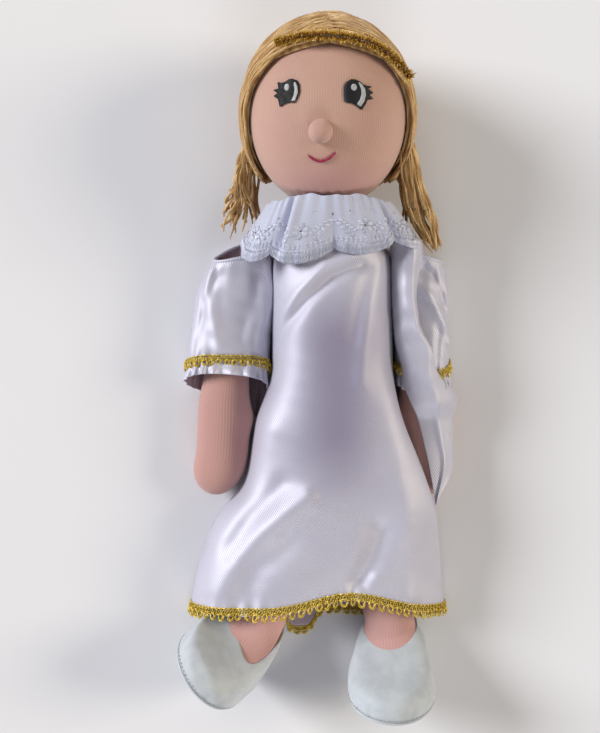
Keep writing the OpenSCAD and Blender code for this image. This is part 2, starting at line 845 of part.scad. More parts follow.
module shoe_sole(side, roll) {
    down = foot_down(roll);
    edge = shoe_ring(1, roll, 0, n_limb);
    function under(k) = [for (p = edge) let (v = p + down * k) [v.x, v.y, max(ground, v.z)]];
    color(leatherette) place_leg(side) loft([under(seam_gap), under(seam_gap + sole_t)]);
}

module foot_filling(side, roll) {
    color(fibre)
        place_leg(side)
            loft([for (f = shoe_fs) shoe_ring(f, roll, -shoe_t - seam_gap, n_limb)]);
}

module right_leg_skin() { leg_skin(-1); }
module right_leg_filling() { leg_filling(-1); }
module right_shoe_upper() { shoe_upper(-1, right_roll); }
module right_shoe_sole() { shoe_sole(-1, right_roll); }
module right_foot_filling() { foot_filling(-1, right_roll); }
module left_leg_skin() { leg_skin(1); }
module left_leg_filling() { leg_filling(1); }
module left_shoe_upper() { shoe_upper(1, left_roll); }
module left_shoe_sole() { shoe_sole(1, left_roll); }
module left_foot_filling() { foot_filling(1, left_roll); }

head_skin();
head_filling();
nose();
right_eye();
left_eye();
right_eye_glint();
left_eye_glint();
mouth();
hair();
right_lock();
left_lock();
halo_wire();
halo_tinsel();
neck_skin();
neck_filling();
torso_skin();
torso_filling();
bodice_front();
bodice_back();
collar();
right_arm_skin();
right_arm_filling();
right_sleeve();
right_sleeve_braid();
left_arm_skin();
left_arm_filling();
left_sleeve();
left_sleeve_braid();
skirt_front();
skirt_back();
hem_braid_front();
hem_braid_back();
right_leg_skin();
right_leg_filling();
right_shoe_upper();
right_shoe_sole();
right_foot_filling();
left_leg_skin();
left_leg_filling();
left_shoe_upper();
left_shoe_sole();
left_foot_filling();
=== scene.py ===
# Rag doll angel in a satin gown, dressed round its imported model
import math
import random

import bpy
import numpy as np
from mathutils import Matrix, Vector


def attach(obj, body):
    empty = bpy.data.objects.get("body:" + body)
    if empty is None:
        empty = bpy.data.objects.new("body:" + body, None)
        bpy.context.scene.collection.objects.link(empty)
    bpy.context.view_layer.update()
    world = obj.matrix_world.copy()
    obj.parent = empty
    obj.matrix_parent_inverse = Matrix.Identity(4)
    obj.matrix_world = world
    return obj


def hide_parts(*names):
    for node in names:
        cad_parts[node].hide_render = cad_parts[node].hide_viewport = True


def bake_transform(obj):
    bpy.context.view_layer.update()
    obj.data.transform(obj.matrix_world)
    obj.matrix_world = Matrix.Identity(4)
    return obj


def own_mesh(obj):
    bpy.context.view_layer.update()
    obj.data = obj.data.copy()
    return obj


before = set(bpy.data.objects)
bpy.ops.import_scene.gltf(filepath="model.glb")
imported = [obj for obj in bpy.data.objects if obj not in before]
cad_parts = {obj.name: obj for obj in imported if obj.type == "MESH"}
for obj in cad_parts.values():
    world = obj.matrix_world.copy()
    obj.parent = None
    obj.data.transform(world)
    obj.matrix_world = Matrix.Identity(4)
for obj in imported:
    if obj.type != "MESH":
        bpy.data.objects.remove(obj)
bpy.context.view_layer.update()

mm = 0.001
rng = random.Random(11)


# Small helpers

def linear(code):
    parts = [int(code[i:i + 2], 16) / 255 for i in (1, 3, 5)]
    return [p / 12.92 if p <= 0.04045 else ((p + 0.055) / 1.055) ** 2.4 for p in parts] + [1]


def addNode(tree, kind, inputs=None, **settings):
    node = tree.nodes.new("ShaderNode" + kind)
    for key, value in settings.items():
        setattr(node, key, value)
    for key, value in (inputs or {}).items():
        if isinstance(value, bpy.types.NodeSocket):
            tree.links.new(value, node.inputs[key])
        else:
            node.inputs[key].default_value = value
    return node


def newMaterial(name, sockets):
    material = bpy.data.materials.new(name)
    material.use_nodes = True
    shader = material.node_tree.nodes["Principled BSDF"]
    for key, value in sockets.items():
        shader.inputs[key].default_value = value
    return material, material.node_tree


def smoothStep(t):
    t = np.clip(t, 0, 1)
    return t * t * (3 - 2 * t)


def lerp(a, b, t):
    return a + (b - a) * t


def sinD(angle):
    return np.sin(np.radians(angle))


def cosD(angle):
    return np.cos(np.radians(angle))


def ringOf(count, whole=math.tau):
    # evenly spaced angles once round
    return np.linspace(0, whole, count, endpoint=False)


def joined(*parts):
    # coordinates side by side, stretched to one shape
    return np.stack(np.broadcast_arrays(*parts), axis=-1)


def unit(vectors):
    return vectors / np.linalg.norm(vectors, axis=-1, keepdims=True)


def runAlong(points):
    # length from the first point, or the mean length from the first row of points
    steps = np.linalg.norm(np.diff(points, axis=0), axis=-1)
    return np.concatenate([[0], np.cumsum(steps if steps.ndim == 1 else steps.mean(1))])


def keepAbove(points, low):
    # lifts what lies lower than a height
    points[..., 2] = np.maximum(low, points[..., 2])
    return points


def bell(d, w):
    return np.exp(-(d / w) ** 2)


def along(y, table, soft=0.0):
    # a value from a table, its corners rounded off over the given length
    ys, values = zip(*sorted(table))
    return sum(np.interp(y + soft * k, ys, values) for k in (-1, -0.5, 0, 0.5, 1)) / 5


def wobble(x, y, seed, size):
    # smooth unevenness, about -1 to 1, with bumps of the given size
    turn = random.Random(seed)
    total = 0
    for _ in range(5):
        a, k, p = turn.uniform(0, math.tau), turn.uniform(0.7, 1.5), turn.uniform(0, math.tau)
        total = total + np.sin((x * math.cos(a) + y * math.sin(a)) * k * math.tau / size + p)
    return total / 3


def curveThrough(points, count):
    # smooth line through a few points, evenly spaced
    p = np.asarray(points, float)
    p = np.vstack([2 * p[0] - p[1], p, 2 * p[-1] - p[-2]])
    fine = []
    for a, b, c, d in zip(p[:-3], p[1:-2], p[2:-1], p[3:]):
        for t in np.linspace(0, 1, 16, endpoint=False):
            fine.append(0.5 * (2 * b + (c - a) * t + (2 * a - 5 * b + 4 * c - d) * t * t
                               + (3 * b - a - 3 * c + d) * t ** 3))
    fine = np.array(fine + [p[-2]])
    run = runAlong(fine)
    at = np.linspace(0, run[-1], count)
    return joined(*[np.interp(at, run, part) for part in fine.T])


def lineDistance(x, y, points):
    # distance from places on a plane to a line of points
    best = np.full(np.shape(x), 1e9)
    for (ax, ay), (bx, by) in zip(points[:-1], points[1:]):
        dx, dy = bx - ax, by - ay
        t = np.clip(((x - ax) * dx + (y - ay) * dy) / (dx * dx + dy * dy), 0, 1)
        best = np.minimum(best, np.hypot(x - ax - t * dx, y - ay - t * dy))
    return best


class Work:
    # gathers the points, faces and weave coordinates of one piece, in millimetres
    def __init__(self):
        self.points, self.faces, self.weave, self.shades = [], [], [], []

    def grid(self, rows, closed=False, weave=None, shade=0, skip=None, ends=0):
        # faces over rows of points; ends says how many ends of a closed form get a cap
        rows = np.asarray(rows, float)
        m, n = rows.shape[:2]
        base = len(self.points)
        self.points.extend(rows.reshape(-1, 3).tolist())
        self.shades.extend(np.broadcast_to(shade, (m, n)).ravel().tolist())
        if weave is None:
            around = rows.transpose(1, 0, 2)
            if closed:
                around = np.vstack([around, rows[None, :, 0]])
            step = np.linalg.norm(np.diff(around, axis=0), axis=2)
            u = np.concatenate([np.zeros((1, m)), np.cumsum(step, axis=0)]).T
            weave = joined(u - u[:, u.shape[1] // 2, None], runAlong(rows)[:, None])
        for i in range(m - 1):
            above, below = base + i * n, base + (i + 1) * n
            for j in range(n if closed else n - 1):
                if skip is not None and skip[i][j]:
                    continue
                k = (j + 1) % n
                self.faces.append((above + j, above + k, below + k, below + j))
                self.weave.extend((weave[i][j], weave[i][j + 1], weave[i + 1][j + 1], weave[i + 1][j]))
        for i in (0, m - 1)[:ends]:
            ring = range(base + i * n, base + (i + 1) * n)
            self.faces.append(tuple(ring if i else ring[::-1]))
            self.weave.extend([(0, 0)] * n)

    def tube(self, path, radius, sides, shade=0):
        path = np.asarray(path, float)
        run = np.gradient(path, axis=0)
        run /= np.linalg.norm(run, axis=1)[:, None] + 1e-12
        side = np.array((0, 0, 1) if abs(run[0][2]) < 0.9 else (1, 0, 0), float)
        turn = ringOf(sides)[:, None]
        rows = []
        for p, t, r in zip(path, run, np.broadcast_to(radius, len(path))):
            side = side - t * side.dot(t)
            side /= np.linalg.norm(side) + 1e-12
            rows.append(p + r * (np.cos(turn) * side + np.sin(turn) * np.cross(t, side)))
        weave = joined(np.linspace(0, 1, sides + 1)[None, :], runAlong(path)[:, None])
        self.grid(rows, True, weave, shade, ends=2)

    def piece(self, name, materials, slot, nodes=(), rides=None, fill=0, thickness=0, smooth=True):
        # makes the mesh, hides the solids it stands for, and sets what it moves with and what it is made of
        mesh = bpy.data.meshes.new(name)
        mesh.from_pydata((np.array(self.points) * mm).tolist(), [], self.faces)
        mesh.uv_layers.new(name="weave").data.foreach_set("uv", np.array(self.weave, np.float32).ravel())
        shade = mesh.attributes.new("shade", "FLOAT", "POINT")
        shade.data.foreach_set("value", np.array(self.shades, np.float32))
        for material in materials:
            mesh.materials.append(material)
        mesh.polygons.foreach_set("use_smooth", np.full(len(self.faces), smooth))
        mesh.update()
        made = bpy.data.objects.new(name, mesh)
        bpy.context.scene.collection.objects.link(made)
        if thickness:
            cloth = made.modifiers.new("thickness", "SOLIDIFY")
            cloth.thickness = thickness * mm
            cloth.offset = 0
            cloth.material_offset = len(materials) - 1  # the inside takes the last material
        if nodes:
            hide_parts(*nodes)
        if rides:
            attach(made, rides)
        return made


# Materials

wavePitch = 0.3142  # a wave texture of scale 1 repeats after this length


def finishMaterial(material, colour, height, strength, depth):
    # joins a pattern's colour and its relief, with a depth in mm, to the shader
    tree = material.node_tree
    shader = tree.nodes["Principled BSDF"]
    bump = addNode(tree, "Bump", {"Height": height, "Strength": strength, "Distance": depth * mm})
    tree.links.new(colour, shader.inputs["Base Color"])
    tree.links.new(bump.outputs["Normal"], shader.inputs["Normal"])
    return material


def knitMaterial(name, colour, groove, pinkTint, wale, fuzz):
    # stretched cotton jersey: soft ribs of knitted loops with painted shade in their grooves,
    # a little fuzz, and pinker where shade is high
    material, tree = newMaterial(name, {"Roughness": 0.85, "Sheen Weight": fuzz, "Sheen Roughness": 0.5,
                                        "Specular IOR Level": 0.25})
    weave = addNode(tree, "UVMap", uv_map="weave").outputs["UV"]
    ribs = addNode(tree, "TexWave", {"Vector": weave, "Scale": wavePitch / wale, "Distortion": 0.9,
                                     "Detail": 1.0, "Detail Scale": 0.4}, bands_direction="X")
    loops = addNode(tree, "TexWave", {"Vector": weave, "Scale": wavePitch / (wale * 0.8), "Distortion": 1.5,
                                      "Detail": 1.0, "Detail Scale": 0.6}, bands_direction="Y")
    height = addNode(tree, "Mix", {0: 0.14, 2: ribs.outputs["Fac"], 3: loops.outputs["Fac"]})
    patches = addNode(tree, "TexNoise", {"Vector": weave, "Scale": 0.09, "Detail": 3.0})  # about 11 mm across
    share = addNode(tree, "Attribute", attribute_name="shade")
    colour, groove, pinkTint = linear(colour), linear(groove), linear(pinkTint)
    base = addNode(tree, "Mix", {0: patches.outputs["Fac"], 6: groove, 7: colour}, data_type="RGBA")
    # painted shade: darker in the grooves between the ribs
    soft = addNode(tree, "Mix", {0: height.outputs[0], 6: groove, 7: base.outputs[2]}, data_type="RGBA")
    lighter = addNode(tree, "Mix", {0: 0.6, 6: soft.outputs[2], 7: colour}, data_type="RGBA")
    warm = addNode(tree, "Mix", {0: share.outputs["Fac"], 6: lighter.outputs[2], 7: pinkTint}, data_type="RGBA")
    return finishMaterial(material, warm.outputs[2], height.outputs[0], 0.2, 0.5)


def satinMaterial(name, colour, shadow, through, roughness):
    # polyester satin: floats of bright thread under a fine slanting twill, with a silky broad gloss;
    # darker purple where shade is high: partly the stuffed body showing through the thin cloth, partly
    # painted shade
    material, tree = newMaterial(name, {"Roughness": roughness, "Metallic": 0.2, "Specular IOR Level": 0.8,
                                        "Sheen Weight": 0.2, "Sheen Roughness": 0.4})
    weave = addNode(tree, "UVMap", uv_map="weave").outputs["UV"]
    slant = addNode(tree, "Mapping", {"Vector": weave, "Rotation": (0, 0, math.radians(-42))})
    twillPitch = 1.1  # wider than the real thread, so that it shows
    twill = addNode(tree, "TexWave", {"Vector": slant.outputs["Vector"], "Scale": wavePitch / twillPitch,
                                      "Distortion": 1.2, "Detail": 2.0, "Detail Scale": 0.7},
                    bands_direction="X")
    clouds = addNode(tree, "TexNoise", {"Vector": weave, "Scale": 0.03, "Detail": 2.0})  # about 33 mm across
    half = addNode(tree, "Math", {0: clouds.outputs["Fac"], 1: 0.75}, operation="MULTIPLY")
    share = addNode(tree, "Attribute", attribute_name="shade")
    colour, shadow, through = linear(colour), linear(shadow), linear(through)
    lines = addNode(tree, "Mix", {0: twill.outputs["Fac"], 6: shadow, 7: colour}, data_type="RGBA")
    pale = addNode(tree, "Mix", {0: half.outputs[0], 6: lines.outputs[2], 7: colour}, data_type="RGBA")
    deep = addNode(tree, "Mix", {0: share.outputs["Fac"], 6: pale.outputs[2], 7: through}, data_type="RGBA")
    return finishMaterial(material, deep.outputs[2], twill.outputs["Fac"], 0.3, 0.3)


def laceMaterial(name, colour, shadow):
    # cotton broderie: plain weave that is matt, with brighter raised thread
    material, tree = newMaterial(name, {"Roughness": 0.7, "Sheen Weight": 0.2, "Specular IOR Level": 0.35})
    weave = addNode(tree, "UVMap", uv_map="weave").outputs["UV"]
    threadPitch = 0.7  # wider than the real thread, so that it shows
    fine = {"Vector": weave, "Scale": wavePitch / threadPitch, "Distortion": 0.5}
    across = addNode(tree, "TexWave", fine, bands_direction="X")
    down = addNode(tree, "TexWave", fine, bands_direction="Y")
    cross = addNode(tree, "Math", {0: across.outputs["Fac"], 1: down.outputs["Fac"]}, operation="MULTIPLY")
    tint = addNode(tree, "Mix", {0: cross.outputs[0], 6: linear(shadow), 7: linear(colour)}, data_type="RGBA")
    return finishMaterial(material, tint.outputs[2], cross.outputs[0], 0.2, 0.2)


def threadMaterial(name, colour, dark, roughness, metallic=0.0, ply=1.6, sheen=0.0):
    # twisted thread: slanting plies round each strand with painted shade between them,
    # darker in random spots and where shade is high
    material, tree = newMaterial(name, {"Roughness": roughness, "Metallic": metallic, "Sheen Weight": sheen})
    weave = addNode(tree, "UVMap", uv_map="weave").outputs["UV"]
    stretch = addNode(tree, "Mapping", {"Vector": weave, "Scale": (1.0, 1 / ply, 1.0)})
    plies = addNode(tree, "TexWave", {"Vector": stretch.outputs["Vector"], "Scale": wavePitch,
                                      "Distortion": 0.4}, bands_direction="DIAGONAL")
    place = addNode(tree, "TexCoord").outputs["Object"]
    spots = addNode(tree, "TexNoise", {"Vector": place, "Scale": 760.0, "Detail": 2.0})  # about 1.3 mm across
    mixed = addNode(tree, "Math", {0: plies.outputs["Fac"], 1: spots.outputs["Fac"]}, operation="MULTIPLY")
    lift = addNode(tree, "Math", {0: mixed.outputs[0], 1: 1.7}, operation="MULTIPLY", use_clamp=True)
    share = addNode(tree, "Attribute", attribute_name="shade")
    colour, dark = linear(colour), linear(dark)
    # painted shade between the plies, and random darker spots
    tint = addNode(tree, "Mix", {0: lift.outputs[0], 6: dark, 7: colour}, data_type="RGBA")
    deep = addNode(tree, "Mix", {0: share.outputs["Fac"], 6: tint.outputs[2], 7: dark}, data_type="RGBA")
    return finishMaterial(material, deep.outputs[2], plies.outputs["Fac"], 0.4, 0.3)


def leatheretteMaterial(name, colour, shadow):
    # soft coated leatherette: matt skin with a fine pebble and faint creases
    material, tree = newMaterial(name, {"Roughness": 0.55, "Specular IOR Level": 0.4})
    place = addNode(tree, "TexCoord").outputs["Object"]
    pebbleSize = 1.1 * mm
    pebble = addNode(tree, "TexVoronoi", {"Vector": place, "Scale": 1 / pebbleSize}, feature="SMOOTH_F1")
    # creases about 8 mm apart
    crease = addNode(tree, "TexNoise", {"Vector": place, "Scale": 120.0, "Detail": 4.0, "Distortion": 0.6})
    share = addNode(tree, "Attribute", attribute_name="shade")
    colour, shadow = linear(colour), linear(shadow)
    tint = addNode(tree, "Mix", {0: crease.outputs["Fac"], 6: shadow, 7: colour}, data_type="RGBA")
    # darker where shade is high: painted shade
    paintedShade = addNode(tree, "Mix", {0: share.outputs["Fac"], 6: tint.outputs[2], 7: shadow}, data_type="RGBA")
    both = addNode(tree, "Math", {0: pebble.outputs["Distance"], 1: crease.outputs["Fac"]}, operation="ADD")
    return finishMaterial(material, paintedShade.outputs[2], both.outputs[0], 0.18, 0.4)


jersey = knitMaterial("cotton_jersey", "#C5A091", "#A0796B", "#B98A89", 1.45, 0.25)
pinkJersey = knitMaterial("pink_rib_jersey", "#D1A6A1", "#AB7D79", "#C48D8A", 1.9, 0.2)
satin = satinMaterial("polyester_satin", "#CCCBDA", "#9D9AB0", "#7A7090", 0.5)
satinInside = satinMaterial("polyester_satin_back", "#B5A3AF", "#8F7E8C", "#7C7190", 0.7)
lace = laceMaterial("cotton_broderie", "#CFD1E1", "#B4B7CC")
laceThread = threadMaterial("embroidery_cotton_white", "#E6E8F4", "#B0B3C9", 0.45, ply=2.0)
blackThread = threadMaterial("embroidery_rayon_black", "#14171E", "#06070A", 0.6, ply=3.0)
paleThread = threadMaterial("embroidery_rayon_grey", "#CDD0D2", "#9A9DA0", 0.45, ply=3.0)
lipThread = threadMaterial("embroidery_rayon_magenta", "#B5174F", "#7C0D35", 0.45, ply=2.0)
woolYarn = threadMaterial("wool_roving_blond", "#E6C68F", "#A2763A", 0.75, ply=9.0, sheen=0.3)
goldThread = threadMaterial("lurex_gold_thread", "#FFE36A", "#A98A24", 0.36, metallic=0.3, ply=1.4)
goldFoil = threadMaterial("tinsel_gold_foil", "#FFE27A", "#A8741A", 0.3, metallic=0.1, ply=3.0)
leatherette = leatheretteMaterial("leatherette_white", "#CBD0D6", "#A9B0B7")
shoeThread = threadMaterial("shoe_stitching", "#B9BDBE", "#8D9394", 0.6, ply=1.5)
steel = threadMaterial("steel_wire", "#8F8F92", "#5C5C60", 0.35, metallic=1.0)
print("materials made")


# Camera above the doll, as the photograph was taken

view = dict(x=-8, height=700, sensor=36, covers=441.6)
cameraData = bpy.data.cameras.new("camera")
cameraData.sensor_width = view["sensor"]
cameraData.lens = view["sensor"] * view["height"] / view["covers"]
camera = bpy.data.objects.new("camera", cameraData)
camera.location = (view["x"] * mm, 0, view["height"] * mm)
bpy.context.scene.collection.objects.link(camera)
bpy.context.scene.camera = camera
print("camera placed")


# Head, nose and face

head = dict(centre=(7.5, 141.0, 45.8), half=(44, 51.5, 41), topLat=89.5, seatLat=-65.8, turn=6, chin=0.2,
            puckers=26, puckerH=0.22, cheekH=0.6, rows=80, columns=112)


def headPoint(lat, lon, out):
    chin = head["chin"] * smoothStep(-lat / 60) * np.maximum(0, sinD(lon))
    (cx, cy, cz), (a, b, c) = head["centre"], head["half"]
    wide = cosD(lat) ** (1 - chin)
    return joined(cx + (a + out) * wide * cosD(lon), cy + (b + out) * sinD(lat),
                  cz + (c + out) * wide * sinD(lon))


def facePoint(dx, dy, out):
    # dx to the doll's left and dy up from the middle of the face
    a, b = head["half"][:2]
    lat = np.degrees(np.arcsin(dy / b))
    return headPoint(lat, 90 + head["turn"] - np.degrees(np.arcsin(dx / (a * cosD(lat)))), out)


def makeHead():
    lats = np.linspace(head["topLat"], head["seatLat"], head["rows"])[:, None]
    lons = ringOf(head["columns"], 360)[None, :]
    gather = head["puckerH"] * cosD(lons * head["puckers"]) * smoothStep((-56 - lats) / 9)  # at the neck seam
    cheeks = head["cheekH"] * bell(lats + 22, 20) * (bell(lons - 52, 22) + bell(lons - 140, 22))
    a, b = head["half"][:2]
    u = np.linspace(0, math.tau * a, head["columns"] + 1)
    v = (90 - lats) * math.pi / 180 * (a + b) / 2
    # pinker and darker towards the chin, and a blush on the cheeks
    pinkTint = 0.75 * smoothStep((-24 - lats) / 34) * np.maximum(0, sinD(lons))
    pinkTint = pinkTint + 0.25 * bell(lats + 16, 12) * (bell(lons - 60, 14) + bell(lons - 132, 14))
    work = Work()
    work.grid(headPoint(lats, lons, gather + cheeks), True, joined(u[None, :], v), pinkTint, ends=2)
    work.piece("headJersey", [jersey], "jersey_skin", ["head_skin", "head_filling"], "head", fill=0.9)


nose = dict(drop=16, radius=6.5, seat=0.2, out=2.6, topLat=88, seatLat=-28, pinkTint=0.2, rows=24, columns=36)


def makeNose():
    seat = facePoint(0.0, -nose["drop"], nose["seat"])
    axis = unit(facePoint(0.0, -nose["drop"], nose["seat"] + 1) - seat)
    side = unit(np.cross(axis, (0, 1, 0)))
    up = np.cross(side, axis)
    rows, weave = [], []
    turn = ringOf(nose["columns"])[:, None]
    ring = np.linspace(0, math.tau, nose["columns"] + 1)
    for q in np.radians(np.linspace(nose["topLat"], nose["seatLat"], nose["rows"])):
        r = nose["radius"] * math.cos(q)
        c = seat + axis * (nose["out"] + nose["radius"] * math.sin(q))
        rows.append(c + r * (np.cos(turn) * up + np.sin(turn) * side))
        weave.append(1.3 * r * joined(np.sin(ring), np.cos(ring)))  # the jersey lies flat over the ball
    work = Work()
    work.grid(rows, True, weave, nose["pinkTint"], ends=1)
    work.piece("noseBall", [jersey], "jersey_skin", ["nose"], "head", fill=1.0)


# Outlines of the embroidery, from the middle of each eye, dx to the doll's left and dy up
leftEye = dict(
    centre=(17.3, 3.6),
    outline=[(-4.7, -5.0), (-5.4, -1.4), (-5.4, 2.8), (-4.3, 5.4), (-1.9, 7.1), (0.5, 7.2), (2.8, 6.4),
             (4.9, 4.6), (9.0, 4.3), (7.0, 2.8), (9.7, 1.0), (7.6, -0.3), (9.7, -2.3), (6.7, -3.0),
             (5.9, -5.2), (3.8, -8.6), (1.4, -6.7), (-1.0, -5.4)],
    crescent=[(2.1, 5.6), (3.8, 4.5), (5.2, 2.4), (5.6, -0.5), (4.9, -3.8), (3.0, -7.0), (1.4, -5.7),
              (2.9, -3.3), (3.6, -0.5), (3.4, 2.4)],
    glint=(-0.3, 2.9), glintSize=(1.35, 1.7))
rightEye = dict(
    centre=(-17.3, 4.6),
    outline=[(-4.7, -7.0), (-5.8, -2.4), (-8.4, -0.4), (-6.1, 0.8), (-8.4, 2.8), (-5.6, 3.2), (-6.2, 6.4),
             (-2.8, 5.7), (-0.2, 7.0), (2.1, 7.2), (4.5, 6.1), (5.9, 3.8), (6.3, 0.0), (5.2, -3.3),
             (3.8, -5.3), (0.7, -5.2), (-2.1, -5.8)],
    crescent=[(3.8, 5.2), (4.9, 2.8), (5.3, -0.5), (3.8, -4.6), (2.1, -4.5), (3.3, -1.9), (3.8, 1.4),
              (3.2, 4.2)],
    glint=(-0.6, 2.9), glintSize=(1.35, 1.7))
stitch = dict(pitch=0.42, radius=0.3, out=0.55, lift=0.3, slant=0.024, shortest=0.25, above=0.45)


def stitchFill(work, centre, outline, out):
    # lays parallel stitches from edge to edge of an outline
    pts = np.array(outline)
    t = np.linspace(0, 1, 7)
    rise = out + stitch["lift"] * np.sqrt(np.maximum(0, 1 - (2 * t - 1) ** 4))
    for y in np.arange(pts[:, 1].min() + 0.1, pts[:, 1].max(), stitch["pitch"]):
        cuts = []
        for (ax, ay), (bx, by) in zip(pts, np.roll(pts, -1, axis=0)):
            if (ay <= y) != (by <= y):
                cuts.append(ax + (bx - ax) * (y - ay) / (by - ay))
        cuts.sort()
        for x0, x1 in zip(cuts[::2], cuts[1::2]):
            if x1 - x0 < stitch["shortest"]:
                continue
            x = lerp(x0, x1, t)
            path = facePoint(centre[0] + x, centre[1] + y + stitch["slant"] * (x - x.mean()), rise)
            work.tube(path, stitch["radius"], 5, shade=rng.uniform(0, 0.35))


def makeEye(name, eye, node):
    work, shine = Work(), Work()
    stitchFill(work, eye["centre"], eye["outline"], stitch["out"])
    above = stitch["out"] + stitch["above"]
    stitchFill(shine, eye["centre"], eye["crescent"], above)
    ring = ringOf(14)
    dot = np.array(eye["glint"]) + joined(np.cos(ring), np.sin(ring)) * eye["glintSize"]
    stitchFill(shine, eye["centre"], dot, above)
    work.piece(name, [blackThread], "embroidery_black", [node], "head")
    shine.piece(name + "Glint", [paleThread], "embroidery_white", [node + "_glint"], "head")


mouth = dict(width=14.4, drop=27.3, sag=3.6, tilt=0.5, strand=0.5, twist=1.4, plyR=0.26, out=0.75)


def makeMouth():
    # stem stitch: two plies twisted along a smile
    work = Work()
    t = np.linspace(-1, 1, 90)
    x = t * mouth["width"] / 2
    y = -mouth["drop"] - mouth["sag"] * (1 - t * t) + mouth["tilt"] * t
    taper = np.sqrt(np.maximum(0.15, 1 - t ** 8))
    for ply in (0, 1):
        turn = x * math.tau / (mouth["twist"] * 2) + ply * math.pi
        path = facePoint(x, y + mouth["plyR"] * np.cos(turn), mouth["out"] + mouth["plyR"] * np.sin(turn))
        work.tube(path, mouth["strand"] * taper, 6, shade=0.1)
    work.piece("mouthThread", [lipThread], "embroidery_magenta", ["mouth"], "head")


makeHead()
makeNose()
makeEye("leftEyeStitches", leftEye, "left_eye")
makeEye("rightEyeStitches", rightEye, "right_eye")
makeMouth()
print("head and face made")


# Hair: a felted layer of yarn under loose strands, with a lock at each side

hair = dict(gap=0.9, thick=4.6, backThick=4.2, line=36, low=-42, rows=40, columns=120, ridges=45, ridgeH=0.35,
            front=250, back=110, strandR=0.85)


def hairEdge(lon):
    # latitude of the hairline round the head
    fold = np.degrees(np.arcsin(sinD(lon)))
    return np.interp(fold, [-90, -20, 0, 20, 40, 90],
                     [hair["low"], -38, -28, 10, 0.75 * hair["line"], hair["line"]])


def makeHairLayer():
    lons = ringOf(hair["columns"], 360)[None, :]
    s = np.linspace(0, 1, hair["rows"])[:, None]
    lats = lerp(head["topLat"], hairEdge(lons) + 1.5, s)
    thick = lerp(hair["thick"], hair["backThick"], smoothStep(-sinD(lons) * 1.5)) - 1.4
    ridges = hair["ridgeH"] * np.cos(np.radians(lons * hair["ridges"]) + 2 * sinD(lats * 5))
    outer = headPoint(lats, lons, hair["gap"] + thick * np.sqrt(np.maximum(0.02, 1 - s ** 8)) + ridges)
    inner = headPoint(lats, lons, hair["gap"] + 0.1)
    rows = keepAbove(np.concatenate([outer, inner[::-1]]), 0.2)
    weave = joined(np.linspace(0, 90, hair["columns"] + 1)[None, :], runAlong(rows)[:, None])
    work = Work()
    # the whole layer a little darker: painted shade between and under the strands
    work.grid(rows, True, weave, 0.55, ends=2)
    work.piece("hairFelt", [woolYarn], "yarn_blond", ["hair"], "head")


def makeHairStrands():
    work = Work()
    t = np.linspace(0, 1, 34)
    kernel = np.ones(7) / 7
    stops = [0, 0.12, 0.4, 0.7, 1]
    for i in range(hair["front"]):
        side = 1 if i % 2 else -1
        deep = rng.random()
        # from a parting over the brow, along the hairline and down beside the cheek
        part = rng.uniform(-30, 34) + side * 16
        brow = lerp(39.5, 78, deep) + rng.uniform(-1, 1)
        lat = np.interp(t, stops, [brow + 3, brow, lerp(30, 62, deep), lerp(8, 34, deep),
                                   rng.uniform(-33, -20)])
        lon = np.interp(t, stops, [90 - side * part * 0.5, 80 - side * part * 0.4, lerp(45, 38, deep),
                                   lerp(19, -2, deep), lerp(4, -20, deep)])
        lat[3:-3] = np.convolve(lat, kernel, "valid")
        lon[3:-3] = np.convolve(lon, kernel, "valid")
        lon = lon if side > 0 else 180 - lon
        fuzz, turn = rng.uniform(5, 13), rng.uniform(0, math.tau)
        out = hair["gap"] + hair["thick"] - 1.5 + rng.uniform(-0.3, 1.3)
        path = headPoint(lat + 0.9 * np.sin(t * fuzz + turn), lon + 0.8 * np.cos(t * fuzz * 1.3 + turn),
                         out + 0.45 * np.sin(t * fuzz * 1.4 + turn))
        path = keepAbove(path, hair["strandR"])
        taper = np.sqrt(np.clip(np.minimum(12 * t, 9 * (1 - t)) + 0.12, 0, 1))
        work.tube(path, hair["strandR"] * rng.uniform(0.6, 1.25) * taper, 5, shade=rng.random() ** 1.5 * 0.75)
    for i in range(hair["back"]):
        # strands down the back of the head
        lon0 = 182 + 176 * (i + rng.uniform(-0.4, 0.4)) / hair["back"]
        lat = lerp(90 - 7 * (i * 0.618 % 1), rng.uniform(-40, -36), t)  # all from the crown, none in a ring
        lon = lon0 + 5 * np.sin(t * 3 + i)
        thick = lerp(hair["thick"], hair["backThick"], smoothStep(-sinD(lon) * 1.5))
        path = headPoint(lat, lon, hair["gap"] + thick - 1.3 + 0.3 * np.sin(t * 8 + i))
        path = keepAbove(path, hair["strandR"])
        taper = np.sqrt(np.clip(9 * t + 0.15, 0, 1))
        work.tube(path, 1.3 * hair["strandR"] * taper, 5, shade=rng.uniform(0, 0.6))
    work.piece("hairStrands", [woolYarn], "yarn_blond", rides="head")


# Locks: a spine from the hair's edge to the tip with half-widths along it, in mm
rightLock = dict(spine=[(-35, 132, 47), (-40, 118, 45), (-43, 104, 42), (-44.5, 88, 39), (-49, 71, 36)],
                 strands=22, spread=[(0, 2.2), (0.5, 3.2), (1, 6.0)], radius=0.8, curl=6.5, wave=1.7,
                 shortest=0.6, behind=22, nape=(-33, 88, 30), cut=88)
leftLock = dict(spine=[(50, 136, 46), (53, 118, 44), (56, 100, 41), (62, 83, 38), (71, 64, 35)],
                strands=64, spread=[(0, 2.5), (0.35, 5.6), (0.75, 6.4), (1, 2.6)], radius=0.85, curl=1.8,
                wave=1.0, shortest=0.78, behind=34, nape=(52, 87, 30), cut=90)


